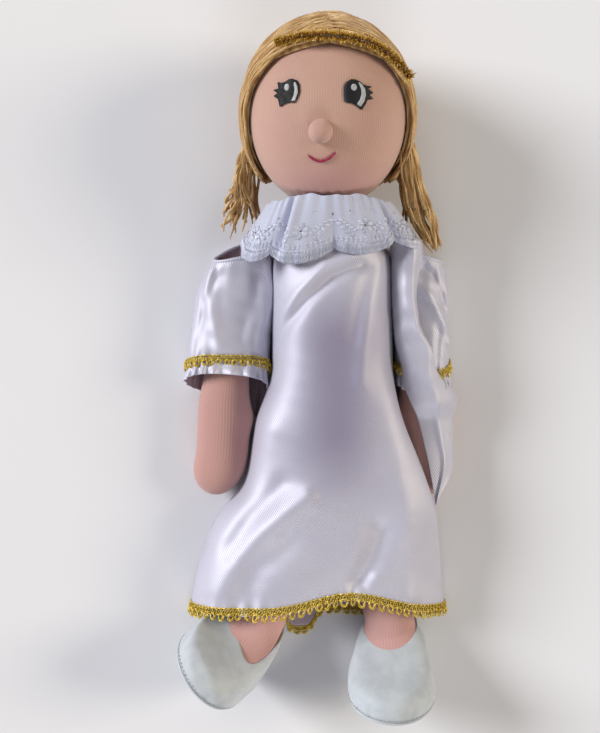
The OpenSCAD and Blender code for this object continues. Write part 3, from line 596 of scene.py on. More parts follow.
def makeLock(name, lock, node):
    work, tips = Work(), Work()
    count = 40
    t = np.linspace(0, 1, count)
    spine = curveThrough(lock["spine"], count)
    for i in range(lock["strands"]):
        turn, share = rng.uniform(0, math.tau), math.sqrt(rng.random())
        reach = rng.uniform(lock["shortest"], 1.0)
        wide = np.interp(t * reach, *zip(*lock["spread"])) * share
        path = joined(*[np.interp(t * reach, t, part) for part in spine.T])
        twist = turn + t * rng.uniform(-0.6, 1.6)
        fuzz, phase = rng.uniform(9, 17), rng.uniform(0, math.tau)
        bend = smoothStep((t - 0.68) / 0.32) * rng.uniform(-1, 0.7) * lock["curl"]
        path[:, 0] += wide * np.cos(twist) + bend + lock["wave"] * t * np.sin(t * fuzz + phase)
        path[:, 1] += 0.4 * wide * np.sin(twist * 1.3)
        path[:, 1] += abs(rng.gauss(0, 1)) * 2 * smoothStep((t - 0.85) / 0.15)
        path[:, 2] += wide * np.sin(twist) * 0.6 + 0.7 * lock["wave"] * np.cos(t * fuzz * 1.2 + phase)
        taper = np.sqrt(np.clip(np.minimum((1.02 - t) * 7, 14 * t + 0.1), 0.06, 1))
        thick = lock["radius"] * rng.uniform(0.65, 1.25) * taper
        dark = rng.random() ** 1.5 * 0.75
        cut = int(np.argmax(path[:, 1] < lock["cut"])) or count
        work.tube(path[:cut + 1], thick[:cut + 1], 5, shade=dark)
        if cut < count - 2:
            tips.tube(path[cut:], thick[cut:], 5, shade=dark)
    side = 1 if lock["nape"][0] > head["centre"][0] else -1
    k = np.linspace(0, 1, 24)
    for i in range(lock["behind"]):
        # shorter hair behind the cheek, down to the collar
        lat, lon = rng.uniform(-28, 4), rng.uniform(-30, 2)
        first = headPoint(lat, lon if side > 0 else 180 - lon, 2.6)
        last = np.array(lock["nape"]) + [side * rng.uniform(-1, 8), rng.uniform(-6, 6), rng.uniform(-8, 8)]
        middle = lerp(first, last, 0.55) + [side * rng.uniform(0, 3), 0, rng.uniform(-3, 3)]
        path = curveThrough([first, middle, last], len(k))
        path[:, 0] += 0.9 * np.sin(k * rng.uniform(8, 15) + i) * k
        path[:, 2] += 0.9 * np.cos(k * rng.uniform(8, 15) + i) * k
        thick = lock["radius"] * rng.uniform(0.7, 1.2) * np.sqrt(np.clip((1.03 - k) * 6, 0.1, 1))
        work.tube(path, thick, 5, shade=0.2 + 0.6 * rng.random())
    made = work.piece(name, [woolYarn], "yarn_blond", [node])
    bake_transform(made)
    made = tips.piece(name + "Tips", [woolYarn], "yarn_blond", rides="neck")
    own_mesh(made)


makeHairLayer()
makeHairStrands()
makeLock("rightLockYarn", rightLock, "right_lock")
makeLock("leftLockYarn", leftLock, "left_lock")
print("hair made")


# Halo: foil tinsel twisted into a wire, lying over the crown

halo = dict(path=[(-21, 174, 74.5), (-7, 175.5, 83), (10, 175, 85.5), (27, 173, 82.5), (40, 167.5, 76.5),
                  (52, 158, 65.5)], count=220, strips=1900, reach=3.8, stripW=0.66, wire=0.6)


def makeHalo():
    count = halo["count"]
    path = curveThrough(halo["path"], count)
    runs = unit(np.gradient(path, axis=0))
    work, wire = Work(), Work()
    for _ in range(halo["strips"]):
        k = rng.randrange(count)
        c, run = path[k], runs[k]
        way = np.array([rng.gauss(0, 1) for _ in range(3)])
        way = unit(way - run * way.dot(run) * 0.75)
        flat = unit(np.cross(way, [rng.gauss(0, 1) for _ in range(3)])) * halo["stripW"] / 2
        reach = halo["reach"] * rng.uniform(0.6, 1.05) * (1 + 0.35 * (k > count - 8))
        mid = c + way * reach * 0.55 + flat * rng.uniform(-1, 1)
        tip = c + way * reach
        strip = [[c - flat, c + flat], [mid - flat, mid + flat], [tip - flat * 0.5, tip + flat * 0.5]]
        work.grid(strip, shade=rng.random() ** 3)
    work.piece("haloTinsel", [goldFoil], "gold_tinsel", ["halo_tinsel"], "head", smooth=False)
    wire.tube(path, halo["wire"], 8)
    wire.piece("haloWire", [steel], "steel_wire", ["halo_wire"], "head")


makeHalo()
print("halo made")


# Body and neck under the gown

body = dict(x=11, top=74, bottom=-28.2, ground=1.4,
            # along the body: half width, half depth and height of the middle
            rings=[(74, 22, 16, 34), (70, 30, 20, 27), (60, 34, 24, 24.9), (40, 34, 24, 24.9),
                   (12.7, 31, 24, 24.9), (-18.2, 34, 24, 24.9), (-28.2, 29, 19, 24.9)])
neck = dict(at=(9.25, 89.3, 38), radius=15, rise=4.4)


def oval(c, a, b, count, tilt=0.0, turn=0.0, low=0.0):
    q = ringOf(count)
    x, d = a * np.cos(q), b * np.sin(q)
    y = -d * sinD(tilt)
    return joined(c[0] + x * cosD(turn) - y * sinD(turn), c[1] + x * sinD(turn) + y * cosD(turn),
                  np.maximum(low, c[2] + d * cosD(tilt)))


def stuffed(name, rings, material, slot, nodes, rides, fill, shade=0):
    # closed padded form through rings, with its knit running along it
    rings = np.asarray(rings)
    around = np.linalg.norm(rings - np.roll(rings, -1, axis=1), axis=2).sum(1)
    u = np.linspace(0, np.median(around), rings.shape[1] + 1)
    work = Work()
    work.grid(rings, True, joined(u[None, :], runAlong(rings)[:, None]), shade, ends=2)
    work.piece(name, [material], slot, nodes, rides, fill)


def makeBody():
    rings = []
    for y in np.linspace(body["top"], body["bottom"], 40):
        wide, deep, z = [along(y, [(row[0], row[k]) for row in body["rings"]]) for k in (1, 2, 3)]
        rings.append(oval((body["x"], y, z), wide, deep, 64, low=body["ground"]))
    stuffed("bodyJersey", rings, jersey, "jersey_skin", ["torso_skin", "torso_filling"], "torso", 0.8)


def makeNeck():
    x, y, z = neck["at"]
    rings = []
    for q in np.linspace(math.asin(neck["rise"] / neck["radius"]), math.radians(-84), 20):
        r = neck["radius"] * math.cos(q)
        rings.append(oval((x, y + neck["radius"] * math.sin(q), z), r, r, 48))
    stuffed("neckJersey", rings, jersey, "jersey_skin", ["neck_skin", "neck_filling"], "neck", 0.9)


makeBody()
makeNeck()
print("body made")


# Arms: along -Y from the shoulder joint, thumb towards the body

arm = dict(y=48, top=13, length=124, thick=26, handW=31, handD=24, handAt=0.42, handIn=0.25,
           thumbAt=0.66, thumb=2.4, tip=0.86, columns=48)
rightArm = dict(side=-1, x=-48, lean=-3.5, tipOut=2.4)
leftArm = dict(side=1, x=62.75, lean=1.5, tipOut=0)


def placed(points, x, y, lean):
    # turned by the lean and moved to a joint
    p = np.array(points, float)
    across, down = p[..., 0], p[..., 1]
    return joined(across * cosD(lean) - down * sinD(lean) + x, across * sinD(lean) + down * cosD(lean) + y,
                  p[..., 2])


def placeOnArm(points, which):
    p = placed(np.array(points) * (-which["side"], 1, 1), which["x"], arm["y"], which["lean"])
    return p if which["side"] < 0 else p[..., ::-1, :]


def makeArm(name, which, rides):
    rings, tint = [], []
    q = ringOf(arm["columns"])
    seam = bell(np.abs(np.sin(q)), 0.12) * (np.cos(q) > 0)
    tipLength = 1 - arm["tip"]
    ends = arm["tip"] + tipLength * np.sin(np.linspace(0, math.pi / 2, 30)[1:])
    for t in np.concatenate([np.linspace(0, arm["tip"], 62), ends]):
        grow = smoothStep((t - arm["handAt"]) / arm["handIn"])
        tip = 1 if t < arm["tip"] else math.sqrt(max(1e-4, 1 - ((t - arm["tip"]) / tipLength) ** 2))
        tip *= math.sqrt(max(0.3, 1 - max(0, 1 - t / 0.045) ** 2))
        a, b = lerp(arm["thick"], arm["handW"], grow) / 2 * tip, lerp(arm["thick"], arm["handD"], grow) / 2
        y = lerp(arm["top"], -arm["length"], t)
        # a crease from the sleeve to the thumb: a groove, with painted shade along it
        line = bell(np.degrees(q) - lerp(74, 30, t) - 4 * math.sin(9 * t), 15) * smoothStep((0.9 - t) / 0.12)
        ring = oval((0, y, body["ground"] + b), a, b * tip, arm["columns"])
        ring[:, 0] += arm["thumb"] * bell(t - arm["thumbAt"], 0.06) * np.maximum(0, np.cos(q)) ** 2
        ring[:, 0] += 0.35 * np.sin(y / 9.0) - which["tipOut"] * smoothStep((t - 0.78) / 0.22)
        ring[:, 0] -= 0.7 * seam * tip
        ring[:, 2] -= 0.7 * line * tip
        rings.append(ring)
        # pinker towards the hand and darker along the seam, with painted shade along the crease
        tint.append(0.45 + 0.15 * grow + 0.3 * seam + 0.5 * line)
    stuffed(name, placeOnArm(rings, which), jersey, "jersey_skin", [rides + "_skin", rides + "_filling"],
            rides, 0.85, tint)


makeArm("rightArmJersey", rightArm, "right_arm")
makeArm("leftArmJersey", leftArm, "left_arm")
print("arms made")


# Legs and shoes: along -Y from the hip joint

leg = dict(y=-45, pitch=36, thick=33, ankle=29, length=107, z=17.4, columns=56)
rightLeg = dict(side=-1, lean=-13, roll=-36, vamp=0.24, vampAt=62, seed=5)
leftLeg = dict(side=1, lean=8.5, roll=-9, vamp=0.03, vampAt=90, seed=9)
shoe = dict(width=50, length=60, height=34, skin=1.2, opening=38, toe=15, off=22.03, rows=44, columns=72,
            stitches=64, stitchR=0.24, seamAt=0.985,
            # the sole, a soft crowned pad: shares of its outline and depths below the seam
            pad=[(0.55, 0.0), (0.96, 0.2), (0.985, 0.8), (0.97, 1.8), (0.92, 2.6), (0.8, 3.0), (0.4, 3.25),
                 (0.02, 3.3)])


def placeOnLeg(points, which):
    return placed(points, body["x"] + which["side"] * leg["pitch"] / 2, leg["y"], which["lean"])


def shoeRing(f, roll, out, count):
    # a ring round the shoe, with f from 0 at the ankle to 1 at the sole's seam, and the way down to the sole
    toe = shoe["toe"]
    down = np.array([sinD(roll) * cosD(toe), -cosD(roll) * cosD(toe), -sinD(toe)])
    fore = np.array([sinD(roll) * sinD(toe), -cosD(roll) * sinD(toe), cosD(toe)])
    wide = sinD(108 * f)
    turn = smoothStep(1.4 * f)
    ankle = leg["ankle"] / 2 + shoe["skin"]
    start = np.array([0, -leg["length"] - 0.3 / cosD(shoe["opening"]), leg["z"]])
    c = start + down * (shoe["height"] * f - out * (1 - f)) + fore * shoe["off"] * sinD(90 * f)
    a, b = [lerp(ankle, shoe[key] / 2, wide) + out for key in ("width", "length")]
    return oval(c, a, b, count, lerp(shoe["opening"], toe, turn), roll * turn, body["ground"]), down


def makeLeg(side, which):
    rides, r, z, low = side + "_leg", leg["thick"] / 2, leg["z"], body["ground"]
    rings = []
    for q in np.linspace(86, 15, 14):
        rings.append(oval((0, r * sinD(q), z), r * cosD(q), r * cosD(q), leg["columns"], low=low))
    for t in np.linspace(0.06, 0.97, 48):
        k = lerp(leg["thick"], leg["ankle"], smoothStep(t)) / 2
        tilt = shoe["opening"] * smoothStep((t - 0.4) / 0.6)
        rings.append(oval((0, -leg["length"] * t, z), k, k, leg["columns"], tilt, low=low))
    ankle = rings[-1]
    for f in np.linspace(0.02, 0.5, 18):  # the instep, inside the shoe
        inside = shoeRing(f, which["roll"], -shoe["skin"] - 0.3, leg["columns"])[0]
        rings.append(lerp(ankle + (0, -f * shoe["skin"], 0), inside, smoothStep(f / 0.16)))
    stuffed(side + "LegJersey", placeOnLeg(rings, which), pinkJersey, "jersey_pink",
            [rides + "_skin", rides + "_filling"], rides, 0.85)


def makeShoe(side, which):
    count, rides, low = shoe["columns"], side + "_leg", body["ground"]
    seed = which["seed"]
    q = ringOf(count)
    lowered = which["vamp"] * bell((np.degrees(q) - which["vampAt"] + 180) % 360 - 180, 58) ** 1.5
    # creases that run up from the sole seam
    sharp = np.maximum(0, np.cos(q * 23 + 2.5 * np.sin(3 * q + seed))) ** 4
    sharp = sharp * (0.4 + 0.6 * np.sin(2 * q + seed) ** 2)

    def shoeRow(k, out):
        # one row round the shoe, from the opening, lower in front, to the sole
        return np.array([shoeRing(lerp(first, 1, k), which["roll"], out, count)[0][j]
                         for j, first in enumerate(lowered)])

    rings = [shoeRow(k, -shoe["skin"]) for k in np.linspace(0.14, 0, 5)]
    # painted shade inside the opening
    tint = [np.full(count, 0.5)] * len(rings)
    for k in np.linspace(0, 1, shoe["rows"]):
        ring = shoeRow(k, 0)
        crease = -0.75 * smoothStep((k - 0.7 - 0.12 * np.sin(5 * q)) / 0.3) * sharp
        dents = 0.6 * wobble(q * 8, k * 26, seed, 10) * math.sin(math.pi * k)
        pinch = -0.5 * bell(k - shoe["seamAt"], 0.03)
        rings.append(keepAbove(ring + unit(ring - ring.mean(0)) * (crease + dents + pinch)[:, None], low))
        # painted shade in the creases and along the pinched seam
        tint.append(np.clip(-crease * 0.8 + 0.7 * bell(k - shoe["seamAt"], 0.02), 0, 1))
    upper, sole, thread = Work(), Work(), Work()
    upper.grid(placeOnLeg(rings, which), True, shade=tint)
    upper.piece(side + "ShoeUpper", [leatherette], "leatherette_white",
                [side + "_shoe_upper", side + "_foot_filling"], rides, fill=0.8)
    edge, down = shoeRing(1, which["roll"], 0, count)
    mid = edge.mean(0)
    soles = [keepAbove(mid + (edge - mid) * k + down * drop, low) for k, drop in shoe["pad"]]
    sole.grid(placeOnLeg(soles, which), True, ends=2)
    sole.piece(side + "ShoeSole", [leatherette], "leatherette_white", [side + "_shoe_sole"], rides)
    # stitches through upper and sole, along the seam
    for k in range(shoe["stitches"]):
        i = (k + np.linspace(0.18, 0.72, 5)) / shoe["stitches"] * count
        j = i.astype(int)
        path = lerp(edge[j % count], edge[(j + 1) % count], (i - j)[:, None])
        path = keepAbove(mid + (path - mid) * 1.004 - down * 0.9, low + 0.3)
        thread.tube(placeOnLeg(path, which), shoe["stitchR"], 5)
    thread.piece(side + "ShoeStitches", [shoeThread], "leatherette_white", rides=rides)


makeLeg("right", rightLeg)
makeLeg("left", leftLeg)
makeShoe("right", rightLeg)
makeShoe("left", leftLeg)
print("legs and shoes made")


# Gown: one front sheet and one back sheet, cut with a flare

gown = dict(top=75.4, hem=-143, rows=170, columns=181, edge=1.4, lap=-28, hemX=3, thick=0.6, backThick=0.5,
            backZ=0.42)
gownLeft = [(-143, -73.5), (-126, -70.5), (-110, -66), (-94, -60.5), (-82, -52.5), (-72, -43), (-60, -39),
            (-30, -34), (-16, -28), (-4, -24.6), (61, -24.6), (70, -22.4), (75.4, -13.8)]
gownRight = [(-143, 78.5), (-125, 76.5), (-110, 74.8), (-95, 72.8), (-80, 69.8), (-66, 65.2), (-50, 58.8),
             (-31, 50.8), (-15, 47), (0, 46.4), (61, 46.4), (70, 44.4), (75.4, 35.8)]
gownRightZ = [(-122, 1.4), (-98, 16), (-84, 26.5), (-74, 28.8), (-22, 28.8), (2, 1.4)]
gownHeight = [(-143, 40.5), (-110, 43.5), (-68, 47), (-28, 51.5), (40, 53.3), (61, 53.3), (75.4, 51.4)]
# soft folds over the legs and the chest, as lines in plan with a height and a width
gownFolds = [
    ([(-29, -36), (-37, -59), (-48, -82), (-57, -101), (-62, -127)], 3.6, 8),
    ([(-4, -74), (-29, -93), (-45, -109), (-54, -127), (-57, -139)], 3.4, 6.5),
    ([(-18, -66), (-37, -88), (-49, -106)], -3.0, 6),
    ([(-14, -100), (-33, -117), (-40, -134)], -2.2, 7),
    ([(44, 20), (49, -30), (53, -64), (57, -98), (58, -132)], 3.8, 9),
    ([(14, -60), (10, -90), (2, -130)], 1.6, 12),
    ([(27, -130), (33, -112), (38, -94)], -4.6, 7.5),
    ([(30, -136), (35, -126)], 1.5, 3.6),
    ([(22, 61), (6.5, 55), (-8, 42), (-19, 29), (-24, 19)], 2.4, 3.8),
    ([(26, 57), (10, 50), (-4, 37.5), (-15, 24), (-21, 14)], -2.2, 3.6),
    ([(39, 58), (33, 37), (29, 14), (26, -8)], 1.6, 5),
    ([(31, 56), (26, 36), (22, 16)], -1.2, 4.5),
]


def gownSurface(y, q):
    # a place on the gown's front: y along the doll, q from 0 at its left edge over the top to 180
    low = smoothStep((gown["lap"] - y) / (gown["lap"] - gown["hem"]))
    p = lerp(0.69, 0.84, smoothStep((-8 - y) / 60))
    cq, sq = cosD(q), np.maximum(0, sinD(q))
    c, s = np.sign(cq) * np.abs(cq) ** p, sq ** p
    mid = along(y, [(gown["hem"], gown["hemX"]), (gown["lap"], body["x"])])
    x = mid + c * np.where(c > 0, along(y, gownRight, 7) - mid, mid - along(y, gownLeft, 5))
    floor = np.where(c > 0, along(y, gownRightZ, 6), gown["edge"])
    fold = -3.5 * low * bell(x - mid - 3, 15)
    for line, high, wide in gownFolds:
        fold = fold + high * bell(lineDistance(x, y, line), wide)
    fold = fold + 0.4 * wobble(x, y, 3, 44) + 0.1 * wobble(x, y, 8, 15)
    nearHem = smoothStep((y - gown["hem"] - 16) / -16)
    ripple = np.sin(x * math.tau / 8.6 + 1.5 * np.sin(x / 15)) * (0.6 + 0.4 * np.sin(x / 9))
    fold = fold + 1.05 * nearHem * ripple
    z = floor + (along(y, gownHeight, 9) - floor + fold * sq ** 0.6) * s
    arch = 9.5 * smoothStep((-95 - y) / 48) * bell(x - 22, 30) - 1.5 * low * (1 - sq)
    return joined(x, y + arch, z)


gownBack = dict(hem=-144.5, dip=11.5, dipX=-8, dipW=9.5,  # one corner of the hem hangs lower
                left=[(-143, 79), (-122, 67.5), (-100, 60), (-82, 56), (-72, 53.2), (-60, 49.9), (-45, 47),
                      (2, 46.4)])


def backRight(y):
    # the back's edge at the doll's left, inside the arm
    return np.minimum(along(y, gownRight, 7), along(y, gownBack["left"], 4))


def makeGownFront():
    ys = np.linspace(gown["top"], gown["hem"], gown["rows"])[:, None]
    rows = gownSurface(ys, np.linspace(0, 180, gown["columns"])[None, :])
    # at the doll's left the cloth turns in over the arm and down beside the body to the back's edge
    x, y, z = rows[:, :1, 0], rows[:, :1, 1], rows[:, :1, 2]
    seam = np.minimum(x, backRight(ys))
    inward = joined(lerp(x, seam, np.array([[0.2, 0.6, 0.92]])), y, z - 0.5)
    down = joined(seam, y, lerp(gown["edge"], z - 0.7, np.linspace(0, 1, 6)[None, :]))
    rows = np.concatenate([down, inward, rows], axis=1)
    x, y = rows[..., 0], rows[..., 1]
    # darker purple over the middle of the body: partly the body showing through, partly painted shade
    throughAndShade = bell(x - 13, 24) * smoothStep((58 - y) / 45) * smoothStep((y + 95) / 60)
    work = Work()
    work.grid(rows, shade=0.75 * throughAndShade)
    made = work.piece("gownFront", [satin, satinInside], "satin_white", ["bodice_front", "skirt_front"],
                      thickness=gown["thick"])
    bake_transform(made)


def backHem(x):
    # how far the back's hem hangs
    dip = np.exp(-((x - gownBack["dipX"]) / gownBack["dipW"]) ** 4)
    return gownBack["hem"] + 0.6 * np.sin(x / 11) - gownBack["dip"] * dip


def makeGownBack():
    t = np.linspace(-1, 1, 121)
    rows = []
    for k in np.linspace(0, 1, 110):
        at = lerp(gown["top"], gown["hem"], k)
        left, right = along(at, gownLeft, 5), backRight(at)
        x = (left + right) / 2 + t * (right - left) / 2
        y = at + (backHem(x) - gown["hem"]) * smoothStep((k - 0.8) / 0.2)
        rows.append(joined(x, y, gown["backZ"] + 0.1 * wobble(x, y, 21, 30)))
    work = Work()
    work.grid(rows)
    made = work.piece("gownBack", [satin, satinInside], "satin_white", ["bodice_back", "skirt_back"],
                      thickness=gown["backThick"])
    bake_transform(made)


makeGownFront()
makeGownBack()
print("gown made")


# Picot braid: a band of crossed gold cords with a row of loops below

braid = dict(band=3.6, loopW=3.5, loopH=4.8, pitch=5.3, cord=0.42, cross=2.65, above=4.5)


def braidAlong(work, path, out, down, scale=1.0):
    # path on the cloth, out away from it and down towards the free edge, all with one row a point
    run = runAlong(path)
    band, cross, pitch, r = [braid[key] * scale for key in ("band", "cross", "pitch", "cord")]

    def place(s, drop, lift):
        at, away, low = [joined(*[np.interp(s, run, part) for part in line.T]) for line in (path, out, down)]
        return at + away * np.asarray(lift)[..., None] + low * np.asarray(drop)[..., None]

    fine = np.arange(0, run[-1], 0.9)
    for drop in (0.0, band):
        work.tube(place(fine, drop, 0.7 + 0.15 * np.sin(fine * 4)), r, 5, shade=rng.uniform(0, 0.2))
    for phase in (0, math.pi):
        turn = fine * math.tau / cross + phase
        cord = place(fine, band * (0.5 + 0.5 * np.cos(turn)), 0.8 + 0.35 * np.sin(turn))
        work.tube(cord, r, 5, shade=rng.uniform(0, 0.3))
    q = np.linspace(0, math.tau, 15)
    bow = 0.5 - 0.5 * np.cos(q)
    for k in range(int(run[-1] / pitch)):
        s0 = (k + 0.5) * pitch + rng.uniform(-0.4, 0.4)
        long = braid["loopH"] * scale * rng.uniform(0.85, 1.1)
        lean = rng.uniform(-0.5, 0.5)
        for ply in (0, 1):
            wide = braid["loopW"] * scale * (0.5 - 0.13 * ply)
            drop = band * 0.7 + long * bow * (1 - 0.16 * ply)
            lift = 0.75 + 0.4 * ply + 0.4 * np.sin(q + k)
            loop = place(np.clip(s0 + wide * np.sin(q) + lean * bow, 0, run[-1]), drop, lift)
            work.tube(loop, r, 5, shade=rng.uniform(0, 0.4))


def clothFrame(path, below):
    # directions away from the cloth and down it, at each point of a path
    down = unit(below - path)
    return unit(np.cross(np.gradient(path, axis=0), down)), down


def makeHemBraids():
    front, back = Work(), Work()
    qs = np.linspace(180, 0, 400)
    y = np.full_like(qs, gown["hem"] + braid["above"])
    path, below = gownSurface(y, qs), gownSurface(y - 2, qs)
    below[:, 2] = path[:, 2]
    away, down = clothFrame(path, below)
    braidAlong(front, path, away * np.sign(away[:, 2:] + 1e-6), down)
    front.piece("hemBraidFront", [goldThread], "gold_braid", ["hem_braid_front"], "lap")
    x = np.linspace(-72.5, 78.5, 200)
    path = joined(x, backHem(x), 0.1)
    braidAlong(back, path, path * 0 + (0, 0, 0.55), path * 0 + (0, -0.72, 0), 0.95)
    back.piece("hemBraidBack", [goldThread], "gold_braid", ["hem_braid_back"], "lap")


makeHemBraids()
print("hem braid made")


# Sleeves: satin tubes, rolled at the open shoulder, gathered by a gold braid;
# each fold has an angle round the arm and a height along it at both ends, then how high and how wide it is

sleeve = dict(hem=-59, depth=31.5, rows=120, columns=144, thick=0.5, rim=0.8, braidAt=0.835, braidTo=0.88)
rightSleeve = dict(which=rightArm, seed=4, top=28, slant=13, slope=11, drop=6, short=2.8, flap=15, arc=6,
                   lean=8,
                   width=[(-56, 48.5), (-30, 46.5), (-5, 43.5), (4, 39.5), (12, 33.5), (18, 29), (27, 24)],
                   middle=[(-56, 0.5), (-5, 1.6), (12, 4.0), (27, 8)],
                   folds=[((140, 8), (95, -40), 1.8, 4), ((60, 10), (80, -30), -1.4, 4),
                          ((118, 2), (150, -44), -1.2, 4), ((40, 0), (50, -45), 1.2, 4)],
                   flat=(0.132, 0.072), give=0.85, giveAt=(-0.0745, 0, 0))
leftSleeve = dict(which=leftArm, seed=6, top=20, slant=3, slope=6, drop=6, short=0, flap=2, arc=-8, lean=2,
                  width=[(-56, 30.5), (-30, 31.5), (-5, 31), (6, 30), (13, 28), (18, 23), (25, 16)],
                  middle=[(-56, 0), (10, 0), (18, 2.5), (26, 6)],
                  folds=[((70, 6), (150, -34), 2.6, 4), ((95, 10), (160, -20), -1.8, 3.5),
                         ((150, -6), (175, -30), 1.4, 3)],
                  flat=(0.106, 0.072), give=0.94, giveAt=(0.08, 0, 0))


def sleeveSurface(one, t, q, out=0.0):
    # t from 0 at the open shoulder to 1 at the hem, q round the arm with 90 on top
    sq, cq, seed = sinD(q), cosD(q), one["seed"]
    inside, outside = np.maximum(0, cq), np.minimum(0, cq)
    top = one["top"] - one["slant"] * (0.5 + 0.5 * sq) + one["slope"] * inside + one["drop"] * outside
    hem = sleeve["hem"] + one["short"] + one["arc"] * (sq - 0.4) - one["flap"] * bell((q + 60) % 360 - 20, 34)
    y = lerp(top, hem, t)
    w, d = along(y, one["width"], 4) / 2 + out, sleeve["depth"] / 2
    folds = 0.5 * wobble(q * 0.4, y, seed, 26) + 0.35 * wobble(q * 0.5, y, seed + 2, 12)
    for (q0, y0), (q1, y1), high, wide in one["folds"]:
        folds = folds + high * bell(lineDistance(q * 0.4, y, [(q0 * 0.4, y0), (q1 * 0.4, y1)]), wide)
    flare = smoothStep((t - 0.9) / 0.1)
    ruffle = smoothStep((t - 0.76) / 0.12) * (0.5 + 1.3 * flare)
    folds = folds + 1.2 * flare + 0.9 * ruffle * np.sin(np.radians(q) * 19 + 1.4 * sinD(q * 3))
    folds = folds * smoothStep(t / 0.08)
    # leans on the gown
    full = one["lean"] * inside * np.maximum(0, sq) * smoothStep((0.75 - t) / 0.3) * smoothStep(t / 0.15)
    x = along(y, one["middle"], 4) + w * np.sign(cq) * np.abs(cq) ** 0.8 + folds * 0.4 * cq + full
    z = d - 0.5 + (d + out + folds) * np.sign(sq) * np.abs(sq) ** 0.82
    return joined(x, y, np.maximum(0.3, z))


def makeSleeve(side, one):
    name, rides, which = side + "Sleeve", side + "_arm", one["which"]
    cloth, trim = Work(), Work()
    ts = np.linspace(0, 1, sleeve["rows"])[:, None]
    cloth.grid(placeOnArm(sleeveSurface(one, ts, ringOf(sleeve["columns"], 360)[None, :]), which), True)
    ring = np.linspace(0, 360, 97)
    rim = keepAbove(placeOnArm(sleeveSurface(one, 0.006, ring), which), sleeve["rim"])
    cloth.tube(rim, sleeve["rim"] * (1 + 0.15 * np.sin(ring / 11)), 8)
    q = np.linspace(190, -10, 200)
    path, below = [placeOnArm(sleeveSurface(one, sleeve[key], q, 0.3), which)
                   for key in ("braidAt", "braidTo")]
    away, down = clothFrame(path, below)
    braidAlong(trim, path, away * np.sign(away[len(q) // 2, 2]), down, 0.85)
    tube = cloth.piece(name, [satin, satinInside], "satin_white", [side + "_sleeve"], rides,
                       thickness=sleeve["thick"])
    gold = trim.piece(name + "Braid", [goldThread], "gold_braid", [side + "_sleeve_braid"], rides)
    for made in (tube, gold):
        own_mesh(made)


# Loose fold of the gown's side: from under the collar down over the left arm, to a point

sideFold = dict(rows=90, columns=40, thick=0.5, lift=1.5, top=72, bottom=-80, round=0.62,
                inner=[(72, 43.5), (66, 44.4), (38, 44.8), (15, 46.4), (-8, 53), (-31, 60.5), (-54, 66),
                       (-78, 70.5)],
                outer=[(66, 60), (50, 57), (38, 56.5), (21, 59), (9, 68), (2, 69), (-17, 71.5), (-42, 71.5),
                       (-59, 72.5), (-78, 72)],
                height=[(66, 45), (50, 44), (20, 42), (0, 40), (-20, 34.5), (-50, 31), (-70, 27), (-78, 22)])


def makeSideFold():
    ys = np.linspace(sideFold["top"], sideFold["bottom"], sideFold["rows"])[:, None]
    t = np.linspace(0, 1, sideFold["columns"])[None, :]
    # the last part of the cloth goes down round the arm's outer side
    wrap = np.clip((t - sideFold["round"]) / (1 - sideFold["round"]), 0, 1) * math.pi / 2
    inner, outer, top = [along(ys, sideFold[key], 4) for key in ("inner", "outer", "height")]
    roll = smoothStep((ys - 4) / 16)
    arch = np.sin(np.pi * np.minimum(1, t / 0.8)) ** 0.7
    x = inner + (outer - inner) * np.minimum(1, t / sideFold["round"]) + 3.5 * roll * np.sin(wrap)
    z = top - 11 + 11 * arch - 6 * roll * (1 - np.cos(wrap))
    # lower down it follows the arm, from its top to its outer side, and narrows to the point
    down = (arm["top"] + arm["y"] - ys) / (arm["top"] + arm["length"])
    hand = smoothStep((down - arm["handAt"]) / arm["handIn"])
    wide = lerp(arm["thick"], arm["handW"], hand) / 2 + sideFold["lift"]
    deep = lerp(arm["thick"], arm["handD"], hand) / 2
    middle = leftArm["x"] + (arm["y"] - ys) * sinD(leftArm["lean"])
    first = np.arccos(np.clip((inner - middle) / wide, -1, 1))
    turn = lerp(first, lerp(first, 0.1, smoothStep((ys + 84) / 34)), t)
    low = smoothStep((2 - ys) / 18)
    sleeveLift = 6.2 * smoothStep((ys + 32) / 12)
    x = lerp(x, middle + (wide + 0.5 * sleeveLift) * np.cos(turn), low)
    z = lerp(z, body["ground"] + deep + (deep + sideFold["lift"] + sleeveLift) * np.sin(turn), low)
    rumple = 1.3 * np.sin(t * 9 + ys / 13) * bell(ys - 10, 26) + 0.6 * wobble(x, ys, 31, 16)
    z = z + rumple * (1 - 0.7 * low) + 1.6 * bell(t - 0.5 - 0.1 * np.sin(ys / 20), 0.09)
    work = Work()
    work.grid(joined(x, ys, np.maximum(1.0, z))[:, ::-1])
    made = work.piece("sideFold", [satin, satinInside], "satin_white", thickness=sideFold["thick"])
    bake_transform(made)


makeSideFold()
makeSleeve("right", rightSleeve)
makeSleeve("left", leftSleeve)
print("sleeves made")


# Collar: a gathered frill of broderie with eyelets, stitched flowers and a scalloped edge

collar = dict(top=91.2, chin=2.6, inW=72, frontD=61, backD=51, outW=98, outRight=4, sideZ=28, frontZ=55.6,
              backZ=4.6, side=17.7, nape=11, scallops=8, scallopH=6.2, ruffle=0.9, rows=60, columns=960,
              edgeStitches=400, thick=0.4,
              reach=[(0, 17.5), (30, 18.5), (60, 21), (90, 25), (120, 28.5), (150, 27), (166, 22), (180, 18)],
              pleats=[(118, 5, 2.4, 4), (126, 4, -3.8, 3.6), (51, 0, 1.6, 4), (43, 0, -2.6, 4)])


# threads of the collar: half-thicknesses, and how far they stand off the cloth
laceStitch = dict(pitch=0.36, leaf=0.2, rim=0.3, edge=0.34, leafOut=0.28, edgeOut=0.3,
                  bow=0.25 * np.sin(np.linspace(0, math.pi, 5)))


